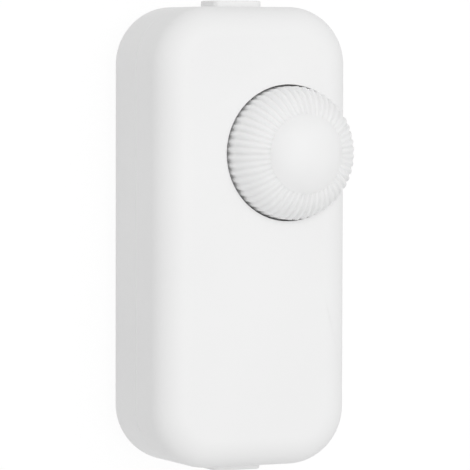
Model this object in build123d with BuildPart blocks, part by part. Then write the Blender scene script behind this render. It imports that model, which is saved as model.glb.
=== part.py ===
from build123d import *
from math import asin, degrees, pi
import os

# Inline rotary dimmer for a lamp cord: a two-shell housing that lies on its flat rear face, with a
# ribbed knob in a round well, and inside it the board, the potentiometer, the dimming circuit and
# the clamps that hold the cord. Millimetres. The origin is the middle of the rear face, +Z points
# out of the front along the knob's axis, and +Y runs along the housing to the end beside the knob.

# Housing
housing_length = 86.0
housing_width = 39.0
housing_depth = 27.7
corner_radius = 10.9
front_fillet = 5.6
rear_fillet = 6.9
wall = 2.0
parting_height = 14.9
seam_chamfer = 0.12
lip_thickness = 0.9
lip_depth = 1.5
lip_clearance = 0.1
post_root = 1.5

# Cord entries, one in the middle of each end
cord_radius = 3.1
cord_clearance = 0.15
collar_width = 9.8
collar_height = 7.8
collar_length = 1.2
collar_corner = 1.4
collar_edge = 0.4

# Knob and the well it turns in
knob_x = 6.1
knob_end_inset = 27.2
well_radius = 12.75
well_wall = 1.5
well_depth = 4.4
well_floor = 1.5
knob_gap = 0.3
knob_floor_gap = 0.6
knob_wall = 1.6
dome_wall = 2.4
shoulder_rise = 2.1
ring_rise = 7.4
ring_radius = 7.4
dome_rise = 2.4
flank_bulge = 0.86
rib_count = 52
rib_land = 0.12
flank_sections = 5
skirt_groove = 0.38
ring_groove = 0.22
hub_radius = 4.8
hub_setback = 0.5
web_thickness = 1.0
clip_groove_depth = 0.4
clip_height = 1.0
clip_rise = 1.6
clip_thickness = 0.7
clip_opening = 3.0

# Shaft, bushing and the potentiometer around them
shaft_radius = 3.0
shaft_flat = 1.5
shaft_engagement = 8.6
shaft_fit = 0.05
bushing_radius = 3.5
bushing_setback = 0.4
bushing_clearance = 0.2
pot_radius = 8.25
switch_height = 5.5
wafer_thickness = 1.4
can_height = 4.8
can_wall = 0.4
track_inner = 4.6
track_outer = 6.4
track_thickness = 0.1
track_angle = 270.0
wiper_gap = 0.1
wiper_thickness = 0.3
wiper_width = 2.2
carrier_radius = 6.9
carrier_thickness = 2.0
carrier_rise = 1.0
carrier_boss = 4.2
turn_angle = 300.0
rotor_lug_angle = 20.0
stop_clearance_angle = 1.0
lug_height = 0.6
lug_clearance = 0.12
pot_tag_width = 1.2
pot_tag_thickness = 0.5
pot_tag_reach = 1.4
pot_tag_pitch = 5.0

# Circuit board and what holds it
board_height = 5.0
board_thickness = 1.6
board_edge_gap = 1.2
board_end_gap = 0.4
board_corner = 1.0
board_post_radius = 2.2
board_fix_x_inset = 2.1
board_fix_y_inset = 2.1
board_pin_radius = 1.0
board_pin_rise = 0.8
board_pin_knob_offset = 5.9
board_pin_clearance = 0.15
board_screw_head_radius = 2.0
board_screw_head_height = 1.4
board_screw_core = 0.85
board_screw_reach = 4.2
lead_radius = 0.35
lead_clearance = 0.1
lead_tail = 1.0

# Housing screws, driven from the rear into the front shell
screw_x_inset = 9.8
screw_y_inset = 13.4
screw_core_radius = 1.2
screw_head_radius = 2.5
screw_head_height = 1.9
screw_seat_height = 9.0
screw_length = 13.0
screw_hole_clearance = 0.35
counterbore_clearance = 0.2
post_wall = 1.2
boss_radius = 2.9
pilot_spare = 0.6
recess_width = 0.7
recess_length = 2.6
recess_depth = 1.0

# Cord clamps
clamp_y_inset = 7.5
clamp_post_radius = 2.4
clamp_post_gap = 1.1
clamp_width = 4.6
clamp_thickness = 2.4
clamp_squeeze = 0.3
clamp_tooth_width = 1.2
clamp_tooth_height = 0.5
clamp_screw_core = 0.95
clamp_screw_head_radius = 2.1
clamp_screw_head_height = 1.5
clamp_screw_reach = 6.0
clamp_hole_clearance = 0.3
saddle_thickness = 1.2
saddle_spacing = 3.2
saddle_side = 1.2
saddle_drop = 1.0

# Terminal blocks
terminal_width = 10.4
terminal_length = 8.6
terminal_height = 10.0
terminal_pitch = 5.0
terminal_chamfer = 1.6
tunnel_floor = 1.6
tunnel_clearance = 0.1
cage_size = 3.6
cage_wall = 0.7
cage_length = 5.0
terminal_screw_core = 1.2
terminal_screw_head_radius = 1.6
terminal_screw_head_height = 1.3
terminal_screw_clearance = 0.15
terminal_screw_rise = 2.0
input_terminal_x = -7.8
output_terminal_x = 0.0
terminal_end_gap = 0.3

# Fuse, lying along the board's left edge below the input terminals
fuse_x = -12.5
fuse_end_gap = 0.4
fuse_length = 20.0
fuse_cap_radius = 2.6
fuse_cap_length = 5.0
fuse_cap_wall = 0.2
fuse_glass_wall = 0.4
fuse_wire_radius = 0.15
fuse_rise = 3.8
clip_metal = 0.4
clip_width = 4.0
clip_mouth = 3.6
clip_foot = 3.0

# Other parts of the circuit
capacitor_x = -11.2
capacitor_fuse_gap = 0.5
capacitor_screw_gap = 1.7
capacitor_width = 6.5
capacitor_height = 11.0
capacitor_edge = 0.5
capacitor_lead_inset = 1.25
timing_x = -4.5
timing_tag_gap = 0.2
timing_length = 7.2
timing_width = 3.0
timing_height = 7.5
timing_pitch = 5.0
choke_x = -0.8
choke_flange_radius = 5.0
choke_flange_thickness = 1.4
choke_core_radius = 2.4
choke_height = 11.0
choke_winding_inset = 0.6
choke_winding_gap = 0.05
sink_wall_gap = 3.0
sink_thickness = 1.5
sink_length = 20.0
sink_ceiling_gap = 2.1
sink_screw_gap = 2.2
sink_foot_inset = 3.0
triac_width = 10.0
triac_depth = 4.4
triac_rise = 2.0
triac_tab_thickness = 1.3
triac_tab_overhang = 0.4
triac_screw_gap = 0.7
triac_lead_pitch = 2.54
triac_hole_drop = 2.8
triac_screw_core = 1.45
triac_screw_head_radius = 2.7
triac_screw_head_height = 1.8
triac_nut_radius = 3.0
triac_nut_thickness = 2.2
triac_screw_spare = 0.3
resistor_sink_gap = 0.25
resistor_spacing = 3.2
resistor_screw_inset = 4.6
resistor_length = 6.3
resistor_radius = 1.15
resistor_waist = 0.95
resistor_pitch = 9.0
diac_x = 3.4
diac_tag_gap = 1.4
diac_length = 4.0
diac_radius = 0.95
diac_pitch = 7.0
axial_rise = 1.5

# Heights and places in the housing, on the board and along the knob's axis
knob_y = housing_length / 2 - knob_end_inset
board_top = board_height + board_thickness
well_floor_height = housing_depth - well_depth
bore_radius = cord_radius + cord_clearance
screw_x = housing_width / 2 - screw_x_inset
screw_y = housing_length / 2 - screw_y_inset
screw_places = [(x, y) for x in (-screw_x, screw_x) for y in (-screw_y, screw_y)]
counterbore_radius = screw_head_radius + counterbore_clearance
post_radius = counterbore_radius + post_wall
clamp_x = cord_radius + clamp_post_gap + clamp_post_radius
clamp_y = housing_length / 2 - clamp_y_inset
clamp_seat = parting_height + cord_radius - clamp_squeeze
clamp_places = [(x, y) for x in (-clamp_x, clamp_x) for y in (-clamp_y, clamp_y)]
board_width = housing_width - 2 * (wall + board_edge_gap)
board_length = 2 * (screw_y - post_radius - board_end_gap)
board_fix_x = board_width / 2 - board_fix_x_inset
board_fix_y = board_length / 2 - board_fix_y_inset
board_screw_places = [(-board_fix_x, -board_fix_y), (board_fix_x, -board_fix_y)]
board_pin_places = [(knob_x - board_pin_knob_offset, board_fix_y), (board_fix_x, board_fix_y)]
wafer_height = board_top + switch_height
can_base = wafer_height + wafer_thickness
can_top = can_base + can_height
bushing_top = well_floor_height - bushing_setback
carrier_height = can_base + carrier_rise
knob_bottom = well_floor_height + knob_floor_gap
hub_bottom = knob_bottom + hub_setback
skirt_radius = well_radius - knob_gap
shoulder_height = housing_depth + shoulder_rise
ring_height = housing_depth + ring_rise
apex_height = ring_height + dome_rise
dome_radius = (ring_radius**2 + dome_rise**2) / (2 * dome_rise)
dome_angle = degrees(asin(ring_radius / dome_radius))
shaft_top = hub_bottom + shaft_engagement
stop_angle = 360 - turn_angle - rotor_lug_angle - 2 * stop_clearance_angle
rest_angle = -90 - (360 - turn_angle) / 2

# The circuit's places: the left side is filled from the input terminals down to the board screw,
# the right side from the other board screw up, and the small parts stand below the
# potentiometer's tags, with the choke midway between them and the output terminals
terminal_y = board_length / 2 - terminal_end_gap - terminal_length / 2
board_screw_edge = board_screw_head_radius - board_fix_y
fuse_height = board_top + fuse_rise
fuse_y = terminal_y - terminal_length / 2 - fuse_end_gap - fuse_length / 2
capacitor_top = fuse_y - fuse_length / 2 - capacitor_fuse_gap
capacitor_length = capacitor_top - board_screw_edge - capacitor_screw_gap
capacitor_y = capacitor_top - capacitor_length / 2
capacitor_pitch = capacitor_length - 2 * capacitor_lead_inset
pot_tag_y = knob_y - pot_radius - pot_tag_reach
timing_y = pot_tag_y - pot_tag_thickness / 2 - timing_tag_gap - timing_width / 2
diac_y = pot_tag_y - pot_tag_thickness / 2 - diac_tag_gap - diac_radius
choke_y = (timing_y - timing_width / 2 - terminal_y + terminal_length / 2) / 2
sink_x = housing_width / 2 - wall - sink_wall_gap - sink_thickness
sink_height = housing_depth - wall - sink_ceiling_gap - board_top
sink_y = board_screw_edge + sink_screw_gap + sink_length / 2
sink_foot_pitch = sink_length - 2 * sink_foot_inset
triac_x = sink_x - triac_tab_thickness
triac_tab_height = sink_height - triac_rise + triac_tab_overhang
triac_height = triac_tab_height - triac_hole_drop - triac_screw_head_radius - triac_screw_gap
triac_hole_height = board_top + triac_rise + triac_tab_height - triac_hole_drop
resistor_right = sink_x - resistor_sink_gap - resistor_radius
resistor_x = (resistor_right - resistor_spacing, resistor_right)
resistor_y = resistor_screw_inset - board_fix_y

# Where the leads pass through the board
pot_tag_leads = [(knob_x + n * pot_tag_pitch, pot_tag_y) for n in (-1, 0, 1)]
switch_leads = [(knob_x + x * pot_tag_pitch, knob_y + y * pot_tag_pitch) for x in (-1, 1) for y in (-1, 1)]
capacitor_leads = [(capacitor_x, capacitor_y + n * capacitor_pitch / 2) for n in (-1, 1)]
timing_leads = [(timing_x + n * timing_pitch / 2, timing_y) for n in (-1, 1)]
choke_leads = [(choke_x + n * (choke_flange_radius + choke_core_radius) / 2, choke_y) for n in (-1, 1)]
triac_leads = [(triac_x - triac_tab_thickness / 2, sink_y + n * triac_lead_pitch) for n in (-1, 0, 1)]
sink_leads = [(sink_x + sink_thickness / 2, sink_y + n * sink_foot_pitch / 2) for n in (-1, 1)]
resistor_leads = [(x, resistor_y + n * resistor_pitch / 2) for x in resistor_x for n in (-1, 1)]
diac_leads = [(diac_x + n * diac_pitch / 2, diac_y) for n in (-1, 1)]
fuse_clip_ys = [fuse_y + n * (fuse_length - fuse_cap_length) / 2 for n in (-1, 1)]
fuse_leads = [(fuse_x, y) for y in fuse_clip_ys]
terminal_leads = [
    (x + n * terminal_pitch / 2, side * terminal_y)
    for x, side in ((input_terminal_x, 1), (output_terminal_x, -1))
    for n in (-1, 1)
]
board_leads = (
    pot_tag_leads + switch_leads + capacitor_leads + timing_leads + choke_leads + triac_leads
    + sink_leads + resistor_leads + diac_leads + fuse_leads + terminal_leads
)

os.makedirs("parts", exist_ok=True)


def housing_form(inset):
    """The housing's rounded block, drawn in by the inset on every side."""
    with BuildPart() as form:
        with BuildSketch(Plane.XY.offset(inset)):
            RectangleRounded(
                housing_width - 2 * inset, housing_length - 2 * inset, corner_radius - inset
            )
        extrude(amount=housing_depth - 2 * inset)
        fillet(form.edges().group_by(Axis.Z)[-1], front_fillet - inset)
        fillet(form.edges().group_by(Axis.Z)[0], rear_fillet - inset)
    return form.part


def entry_plane(side, y):
    """A plane square to the cord, facing out of the end on that side."""
    return Plane((0, side * y, parting_height), x_dir=(1, 0, 0), z_dir=(0, side, 0))


def cord_collars(keep):
    """The low rounded collars that the cord comes out of, on one side of the parting plane."""
    with BuildPart() as collars:
        for side in (-1, 1):
            with BuildSketch(entry_plane(side, housing_length / 2 - wall)):
                RectangleRounded(collar_width, collar_height, collar_corner)
            extrude(amount=wall + collar_length)
            fillet(collars.faces().sort_by(Axis.Y)[-1 if side > 0 else 0].edges(), collar_edge)
        split(bisect_by=Plane.XY.offset(parting_height), keep=keep)
        add(housing_form(wall), mode=Mode.SUBTRACT)
    return collars.part


def standing(places, radius, bottom, top, mode=Mode.ADD):
    """Round posts, or holes, of one radius between two heights, in the piece being made."""
    with BuildSketch(Plane.XY.offset(bottom)) as rounds:
        with Locations(*places):
            Circle(radius)
    extrude(rounds.sketch, amount=top - bottom, mode=mode)


def leads(places, top):
    """Wire leads from the height given down through the board to its solder side."""
    standing(places, lead_radius, board_height - lead_tail, top)


def sector(inner, outer, middle_angle, span):
    """A flat sketch of a piece of a ring, centred on one angle."""
    with BuildSketch() as piece:
        with BuildLine():
            start = middle_angle - span / 2
            inside = CenterArc((0, 0), inner, start, span)
            outside = CenterArc((0, 0), outer, start, span)
            Line(inside @ 0, outside @ 0)
            Line(inside @ 1, outside @ 1)
        make_face()
    return piece.sketch


def cross_recess(centre, depth):
    """The cross-shaped driver recess in a screw head, cut down from a plane."""
    with BuildSketch(centre) as cross:
        Rectangle(recess_length, recess_width)
        Rectangle(recess_width, recess_length)
    extrude(cross.sketch, amount=-depth, mode=Mode.SUBTRACT)


# Front shell: the face, the side walls down to the seam, the well and the screw bosses

with BuildPart() as front_shell:
    add(housing_form(0))
    add(housing_form(wall), mode=Mode.SUBTRACT)
    standing([(knob_x, knob_y)], well_radius + well_wall, well_floor_height - well_floor, housing_depth)
    standing(screw_places, boss_radius, parting_height, housing_depth - wall / 2)
    add(housing_form(0), mode=Mode.INTERSECT)
    split(bisect_by=Plane.XY.offset(parting_height), keep=Keep.TOP)
    rim = front_shell.faces().filter_by(Axis.Z).group_by(Axis.Z)[0].sort_by(SortBy.AREA)[-1]
    chamfer(rim.outer_wire().edges(), seam_chamfer)
    add(cord_collars(Keep.TOP))
    with BuildSketch(Plane.XY.offset(parting_height - lip_depth + lip_clearance)):
        for inset, mode in ((wall - lip_thickness, Mode.ADD), (wall, Mode.SUBTRACT)):
            RectangleRounded(
                housing_width - 2 * inset, housing_length - 2 * inset, corner_radius - inset, mode=mode
            )
    extrude(amount=lip_depth)
    standing([(knob_x, knob_y)], well_radius, well_floor_height, shoulder_height, Mode.SUBTRACT)
    standing(
        [(knob_x, knob_y)], bushing_radius + bushing_clearance,
        well_floor_height - well_floor, well_floor_height, Mode.SUBTRACT,
    )
    standing(
        screw_places, screw_core_radius, parting_height,
        screw_seat_height + screw_length + pilot_spare, Mode.SUBTRACT,
    )
    for side in (-1, 1):
        with BuildSketch(entry_plane(side, housing_length / 2 + collar_length)):
            Circle(bore_radius)
        extrude(amount=-(collar_length + wall), mode=Mode.SUBTRACT)

front_shell.part.label = "front_shell"
export_step(front_shell.part, "parts/front_shell.step")

# Rear shell: the flat back, the rebate for the front shell's lip, and every post

with BuildPart() as rear_shell:
    add(housing_form(0))
    add(housing_form(wall), mode=Mode.SUBTRACT)
    split(bisect_by=Plane.XY.offset(parting_height), keep=Keep.BOTTOM)
    rim = rear_shell.faces().filter_by(Axis.Z).group_by(Axis.Z)[-1].sort_by(SortBy.AREA)[-1]
    chamfer(rim.outer_wire().edges(), seam_chamfer)
    add(cord_collars(Keep.BOTTOM))
    with BuildSketch(Plane.XY.offset(parting_height - lip_depth)):
        rebate = wall - lip_thickness - lip_clearance
        RectangleRounded(
            housing_width - 2 * rebate, housing_length - 2 * rebate, corner_radius - rebate
        )
    extrude(amount=lip_depth, mode=Mode.SUBTRACT)
    standing(screw_places, post_radius, post_root, parting_height)
    standing(clamp_places, clamp_post_radius, post_root, clamp_seat)
    standing(board_screw_places + board_pin_places, board_post_radius, post_root, board_height)
    standing(board_pin_places, board_pin_radius, board_height, board_top + board_pin_rise)
    with BuildSketch(Plane.XY.offset(post_root)):
        for side in (-1, 1):
            with Locations((0, side * clamp_y)):
                with GridLocations(0, saddle_spacing, 1, 2):
                    Rectangle(2 * (cord_radius + saddle_side), saddle_thickness)
    extrude(amount=parting_height - saddle_drop - post_root)
    for side in (-1, 1):
        with BuildSketch(entry_plane(side, clamp_y + saddle_spacing)):
            Circle(cord_radius)
        extrude(amount=-2 * saddle_spacing, mode=Mode.SUBTRACT)
        with BuildSketch(entry_plane(side, housing_length / 2 + collar_length)):
            Circle(bore_radius)
        extrude(amount=-(collar_length + wall), mode=Mode.SUBTRACT)
    standing(screw_places, counterbore_radius, 0, screw_seat_height, Mode.SUBTRACT)
    standing(
        screw_places, screw_core_radius + screw_hole_clearance,
        screw_seat_height, parting_height, Mode.SUBTRACT,
    )
    standing(clamp_places, clamp_screw_core, clamp_seat - clamp_screw_reach, clamp_seat, Mode.SUBTRACT)
    standing(
        board_screw_places, board_screw_core,
        board_top - board_screw_reach, board_height, Mode.SUBTRACT,
    )

rear_shell.part.label = "rear_shell"
export_step(rear_shell.part, "parts/rear_shell.step")

# Housing screws: pan heads at the bottom of deep holes in the back

with BuildPart() as housing_screws:
    standing(
        screw_places, screw_head_radius,
        screw_seat_height - screw_head_height, screw_seat_height,
    )
    fillet(housing_screws.edges().group_by(Axis.Z)[0], screw_head_height / 3)
    standing(screw_places, screw_core_radius, screw_seat_height, screw_seat_height + screw_length)
    chamfer(housing_screws.edges().group_by(Axis.Z)[-1], screw_core_radius / 2)
    for x, y in screw_places:
        cross_recess(Plane((x, y, screw_seat_height - screw_head_height), z_dir=(0, 0, -1)), recess_depth)

housing_screws.part.label = "housing_screws"
export_step(housing_screws.part, "parts/housing_screws.step")


# Cord clamps: a bar with a tooth that presses the cord into its saddle, on two posts

def cord_clamp(side):
    """The clamp bar at one end of the housing."""
    centre_y = side * clamp_y
    with BuildPart() as bar:
        with BuildSketch(Plane.XY.offset(clamp_seat)):
            with Locations((0, centre_y)):
                SlotCenterToCenter(2 * clamp_x, clamp_width)
        extrude(amount=clamp_thickness)
        fillet(bar.edges().group_by(Axis.Z)[-1], clamp_tooth_height)
        with BuildSketch(Plane.XY.offset(clamp_seat)):
            with Locations((0, centre_y)):
                Rectangle(2 * cord_radius, clamp_tooth_width)
        extrude(amount=-clamp_tooth_height)
        standing(
            [(-clamp_x, centre_y), (clamp_x, centre_y)], clamp_screw_core + clamp_hole_clearance,
            clamp_seat, clamp_seat + clamp_thickness, Mode.SUBTRACT,
        )
    return bar


input_cord_clamp = cord_clamp(1)
input_cord_clamp.part.label = "input_cord_clamp"
export_step(input_cord_clamp.part, "parts/input_cord_clamp.step")

output_cord_clamp = cord_clamp(-1)
output_cord_clamp.part.label = "output_cord_clamp"
export_step(output_cord_clamp.part, "parts/output_cord_clamp.step")

with BuildPart() as cord_clamp_screws:
    clamp_top = clamp_seat + clamp_thickness
    standing(clamp_places, clamp_screw_head_radius, clamp_top, clamp_top + clamp_screw_head_height)
    fillet(cord_clamp_screws.edges().group_by(Axis.Z)[-1], clamp_screw_head_height / 3)
    standing(clamp_places, clamp_screw_core, clamp_seat - clamp_screw_reach, clamp_top)
    for x, y in clamp_places:
        cross_recess(Plane((x, y, clamp_top + clamp_screw_head_height)), recess_depth)

cord_clamp_screws.part.label = "cord_clamp_screws"
export_step(cord_clamp_screws.part, "parts/cord_clamp_screws.step")

# Circuit board and its two screws

with BuildPart() as circuit_board:
    with BuildSketch(Plane.XY.offset(board_height)):
        RectangleRounded(board_width, board_length, board_corner)
        with Locations(*board_leads):
            Circle(lead_radius + lead_clearance, mode=Mode.SUBTRACT)
        with Locations(*board_screw_places):
            Circle(board_screw_core + board_pin_clearance, mode=Mode.SUBTRACT)
        with Locations(*board_pin_places):
            Circle(board_pin_radius + board_pin_clearance, mode=Mode.SUBTRACT)
    extrude(amount=board_thickness)

circuit_board.part.label = "circuit_board"
export_step(circuit_board.part, "parts/circuit_board.step")

with BuildPart() as board_screws:
    standing(board_screw_places, board_screw_head_radius, board_top, board_top + board_screw_head_height)
    fillet(board_screws.edges().group_by(Axis.Z)[-1], board_screw_head_height / 3)
    standing(board_screw_places, board_screw_core, board_top - board_screw_reach, board_top)
    for x, y in board_screw_places:
        cross_recess(Plane((x, y, board_top + board_screw_head_height)), recess_depth)

board_screws.part.label = "board_screws"
export_step(board_screws.part, "parts/board_screws.step")


# Terminal blocks: wire openings towards the cord, a clamping cage and a screw in each pole

def terminal_block(x, side):
    """The moulded two-pole block on one side's end of the board."""
    y = side * terminal_y
    with BuildPart() as block:
        with BuildSketch(Plane((x, y, board_top))):
            Rectangle(terminal_width, terminal_length)
        extrude(amount=terminal_height)
        top_edges = block.faces().sort_by(Axis.Z)[-1].edges().filter_by(Axis.X).sort_by(Axis.Y)
        chamfer(top_edges[-1 if side > 0 else 0], terminal_chamfer)
        with BuildSketch(tunnel_plane(x, side)):
            with GridLocations(terminal_pitch, 0, 2, 1):
                Rectangle(cage_size + 2 * tunnel_clearance, cage_size, align=(Align.CENTER, Align.MIN))
        extrude(amount=-(terminal_length - terminal_chamfer), mode=Mode.SUBTRACT)
        poles = [(x - terminal_pitch / 2, y), (x + terminal_pitch / 2, y)]
        standing(
            poles, terminal_screw_head_radius + terminal_screw_clearance,
            board_top + tunnel_floor + cage_size, board_top + terminal_height, Mode.SUBTRACT,
        )
        leads(poles, board_top)
    return block


def tunnel_plane(x, side):
    """The face that the wires go into, with its up direction along +Z."""
    mouth = side * (terminal_y + terminal_length / 2)
    return Plane((x, mouth, board_top + tunnel_floor), x_dir=(-side, 0, 0), z_dir=(0, side, 0))


input_terminal_block = terminal_block(input_terminal_x, 1)
input_terminal_block.part.label = "input_terminal_block"
export_step(input_terminal_block.part, "parts/input_terminal_block.step")

output_terminal_block = terminal_block(output_terminal_x, -1)
output_terminal_block.part.label = "output_terminal_block"
export_step(output_terminal_block.part, "parts/output_terminal_block.step")

with BuildPart() as terminal_clamps:
    cage_base = board_top + tunnel_floor
    with BuildSketch(Plane.XY.offset(cage_base)):
        with Locations(*terminal_leads):
            Rectangle(cage_size, cage_length)
    extrude(amount=cage_size)
    with BuildSketch(Plane.XY.offset(cage_base + cage_wall)):
        with Locations(*terminal_leads):
            Rectangle(cage_size - 2 * cage_wall, cage_length)
    extrude(amount=cage_size - 2 * cage_wall, mode=Mode.SUBTRACT)
    standing(
        terminal_leads, terminal_screw_core, cage_base + cage_size - cage_wall,
        cage_base + cage_size, Mode.SUBTRACT,
    )

terminal_clamps.part.label = "terminal_clamps"
export_step(terminal_clamps.part, "parts/terminal_clamps.step")

with BuildPart() as terminal_screws:
    head_base = cage_base + cage_size + terminal_screw_rise
    standing(terminal_leads, terminal_screw_core, cage_base + cage_size - cage_wall, head_base)
    standing(terminal_leads, terminal_screw_head_radius, head_base, head_base + terminal_screw_head_height)
    with BuildSketch(Plane.XY.offset(head_base + terminal_screw_head_height)):
        with Locations(*terminal_leads):
            Rectangle(2 * terminal_screw_head_radius, recess_width)
    extrude(amount=-recess_depth, mode=Mode.SUBTRACT)

terminal_screws.part.label = "terminal_screws"
export_step(terminal_screws.part, "parts/terminal_screws.step")


# Fuse: a glass cartridge held by two spring clips

def along_fuse(y):
    """A plane across the fuse at one place along it, facing +Y."""
    return Plane((fuse_x, y, fuse_height), x_dir=(-1, 0, 0), z_dir=(0, 1, 0))


with BuildPart() as fuse_tube:
    with BuildSketch(along_fuse(fuse_y)):
        Circle(fuse_cap_radius - fuse_cap_wall)
        Circle(fuse_cap_radius - fuse_cap_wall - fuse_glass_wall, mode=Mode.SUBTRACT)
    extrude(amount=fuse_length / 2 - fuse_cap_wall, both=True)

fuse_tube.part.label = "fuse_tube"
export_step(fuse_tube.part, "parts/fuse_tube.step")

with BuildPart() as fuse_caps:
    for side in (-1, 1):
        end = along_fuse(fuse_y + side * fuse_length / 2)
        with BuildSketch(end):
            Circle(fuse_cap_radius)
        extrude(amount=-side * fuse_cap_length)
        with BuildSketch(end.offset(-side * fuse_cap_wall)):
            Circle(fuse_cap_radius - fuse_cap_wall)
        extrude(amount=-side * (fuse_cap_length - fuse_cap_wall), mode=Mode.SUBTRACT)

fuse_caps.part.label = "fuse_caps"
export_step(fuse_caps.part, "parts/fuse_caps.step")

with BuildPart() as fuse_wire:
    with BuildSketch(along_fuse(fuse_y)):
        Circle(fuse_wire_radius)
    extrude(amount=fuse_length / 2 - fuse_cap_wall, both=True)

fuse_wire.part.label = "fuse_wire"
export_step(fuse_wire.part, "parts/fuse_wire.step")

with BuildPart() as fuse_clips:
    for y in fuse_clip_ys:
        with BuildSketch(along_fuse(y)):
            Circle(fuse_cap_radius + clip_metal)
            with Locations((0, -fuse_rise)):
                Rectangle(clip_foot, fuse_rise, align=(Align.CENTER, Align.MIN))
            Circle(fuse_cap_radius, mode=Mode.SUBTRACT)
            Rectangle(
                clip_mouth, 2 * fuse_cap_radius, align=(Align.CENTER, Align.MIN), mode=Mode.SUBTRACT
            )
        extrude(amount=clip_width / 2, both=True)
    leads(fuse_leads, board_top)

fuse_clips.part.label = "fuse_clips"
export_step(fuse_clips.part, "parts/fuse_clips.step")

# Interference capacitor and timing capacitor: potted boxes on two leads

with BuildPart() as interference_capacitor:
    with BuildSketch(Plane((capacitor_x, capacitor_y, board_top))):
        Rectangle(capacitor_width, capacitor_length)
    extrude(amount=capacitor_height)
    fillet(interference_capacitor.edges().filter_by(Axis.Z), capacitor_edge)
    leads(capacitor_leads, board_top)

interference_capacitor.part.label = "interference_capacitor"
export_step(interference_capacitor.part, "parts/interference_capacitor.step")

with BuildPart() as timing_capacitor:
    with BuildSketch(Plane((timing_x, timing_y, board_top))):
        Rectangle(timing_length, timing_width)
    extrude(amount=timing_height)
    fillet(timing_capacitor.edges().filter_by(Axis.Z), capacitor_edge)
    leads(timing_leads, board_top)

timing_capacitor.part.label = "timing_capacitor"
export_step(timing_capacitor.part, "parts/timing_capacitor.step")

# Choke: a ferrite bobbin standing on the board, with its copper winding

with BuildPart() as choke_core:
    for height, radius, thickness in (
        (0, choke_flange_radius, choke_flange_thickness),
        (choke_flange_thickness, choke_core_radius, choke_height - 2 * choke_flange_thickness),
        (choke_height - choke_flange_thickness, choke_flange_radius, choke_flange_thickness),
    ):
        standing([(choke_x, choke_y)], radius, board_top + height, board_top + height + thickness)
    leads(choke_leads, board_top)

choke_core.part.label = "choke_core"
export_step(choke_core.part, "parts/choke_core.step")

with BuildPart() as choke_winding:
    winding_bottom = board_top + choke_flange_thickness
    winding_top = board_top + choke_height - choke_flange_thickness
    winding_radius = choke_flange_radius - choke_winding_inset
    standing([(choke_x, choke_y)], winding_radius, winding_bottom, winding_top)
    standing(
        [(choke_x, choke_y)], choke_core_radius + choke_winding_gap,
        winding_bottom, winding_top, Mode.SUBTRACT,
    )

choke_winding.part.label = "choke_winding"
export_step(choke_winding.part, "parts/choke_winding.step")

# Triac, screwed to the heat sink that stands beside it

with BuildPart() as heat_sink:
    with BuildSketch(Plane((sink_x, sink_y, board_top))):
        Rectangle(sink_thickness, sink_length, align=(Align.MIN, Align.CENTER))
    extrude(amount=sink_height)
    leads(sink_leads, board_top)
    with BuildSketch(Plane((sink_x, sink_y, triac_hole_height), x_dir=(0, 1, 0), z_dir=(1, 0, 0))):
        Circle(triac_screw_core)
    extrude(amount=sink_thickness, mode=Mode.SUBTRACT)

heat_sink.part.label = "heat_sink"
export_step(heat_sink.part, "parts/heat_sink.step")

triac_face = Plane((sink_x, sink_y, board_top + triac_rise), x_dir=(0, -1, 0), z_dir=(-1, 0, 0))

with BuildPart() as triac_tab:
    with BuildSketch(triac_face):
        Rectangle(triac_width, triac_tab_height, align=(Align.CENTER, Align.MIN))
        with Locations((0, triac_tab_height - triac_hole_drop)):
            Circle(triac_screw_core, mode=Mode.SUBTRACT)
    extrude(amount=triac_tab_thickness)

triac_tab.part.label = "triac_tab"
export_step(triac_tab.part, "parts/triac_tab.step")

with BuildPart() as triac_body:
    with BuildSketch(triac_face.offset(triac_tab_thickness)):
        Rectangle(triac_width, triac_height, align=(Align.CENTER, Align.MIN))
    extrude(amount=triac_depth - triac_tab_thickness)
    chamfer(triac_body.faces().sort_by(Axis.X)[0].edges(), triac_tab_thickness / 3)
    leads(triac_leads, board_top + triac_rise)

triac_body.part.label = "triac_body"
export_step(triac_body.part, "parts/triac_body.step")

with BuildPart() as triac_screw:
    hole_plane = Plane((triac_x, sink_y, triac_hole_height), x_dir=(0, 1, 0), z_dir=(1, 0, 0))
    with BuildSketch(hole_plane):
        Circle(triac_screw_head_radius)
    extrude(amount=-triac_screw_head_height)
    with BuildSketch(hole_plane):
        Circle(triac_screw_core)
    extrude(amount=triac_tab_thickness + sink_thickness + triac_nut_thickness + triac_screw_spare)
    cross_recess(hole_plane.offset(-triac_screw_head_height), -recess_depth)

triac_screw.part.label = "triac_screw"
export_step(triac_screw.part, "parts/triac_screw.step")

with BuildPart() as triac_nut:
    with BuildSketch(hole_plane.offset(triac_tab_thickness + sink_thickness)):
        RegularPolygon(triac_nut_radius, 6)
        Circle(triac_screw_core, mode=Mode.SUBTRACT)
    extrude(amount=triac_nut_thickness)

triac_nut.part.label = "triac_nut"
export_step(triac_nut.part, "parts/triac_nut.step")


# Resistors and diac: turned bodies, each on one lead bent down at both ends

def axial_component(x, y, along, length, end_radius, waist_radius, pitch):
    """One component lying along a direction, with its leads going down through the board."""
    normal = Vector(along).cross(Vector(0, 0, 1))
    upright = Plane((x, y, board_top + axial_rise), x_dir=along, z_dir=normal)
    with BuildPart() as component:
        with BuildSketch(upright):
            with BuildLine():
                Polyline(
                    (-length / 2, 0), (-length / 2, end_radius), (-length / 4, end_radius),
                    (-length / 8, waist_radius), (length / 8, waist_radius),
                    (length / 4, end_radius), (length / 2, end_radius), (length / 2, 0), close=True,
                )
            make_face()
        revolve(axis=Axis(upright.origin, along))
        solder_side = -axial_rise - board_thickness - lead_tail
        with BuildLine(upright) as lead:
            FilletPolyline(
                (-pitch / 2, solder_side), (-pitch / 2, 0), (pitch / 2, 0), (pitch / 2, solder_side),
                radius=2 * lead_radius,
            )
        with BuildSketch(Plane(lead.line @ 0, z_dir=lead.line % 0)):
            Circle(lead_radius)
        sweep(path=lead.line)
    return component.part


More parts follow.
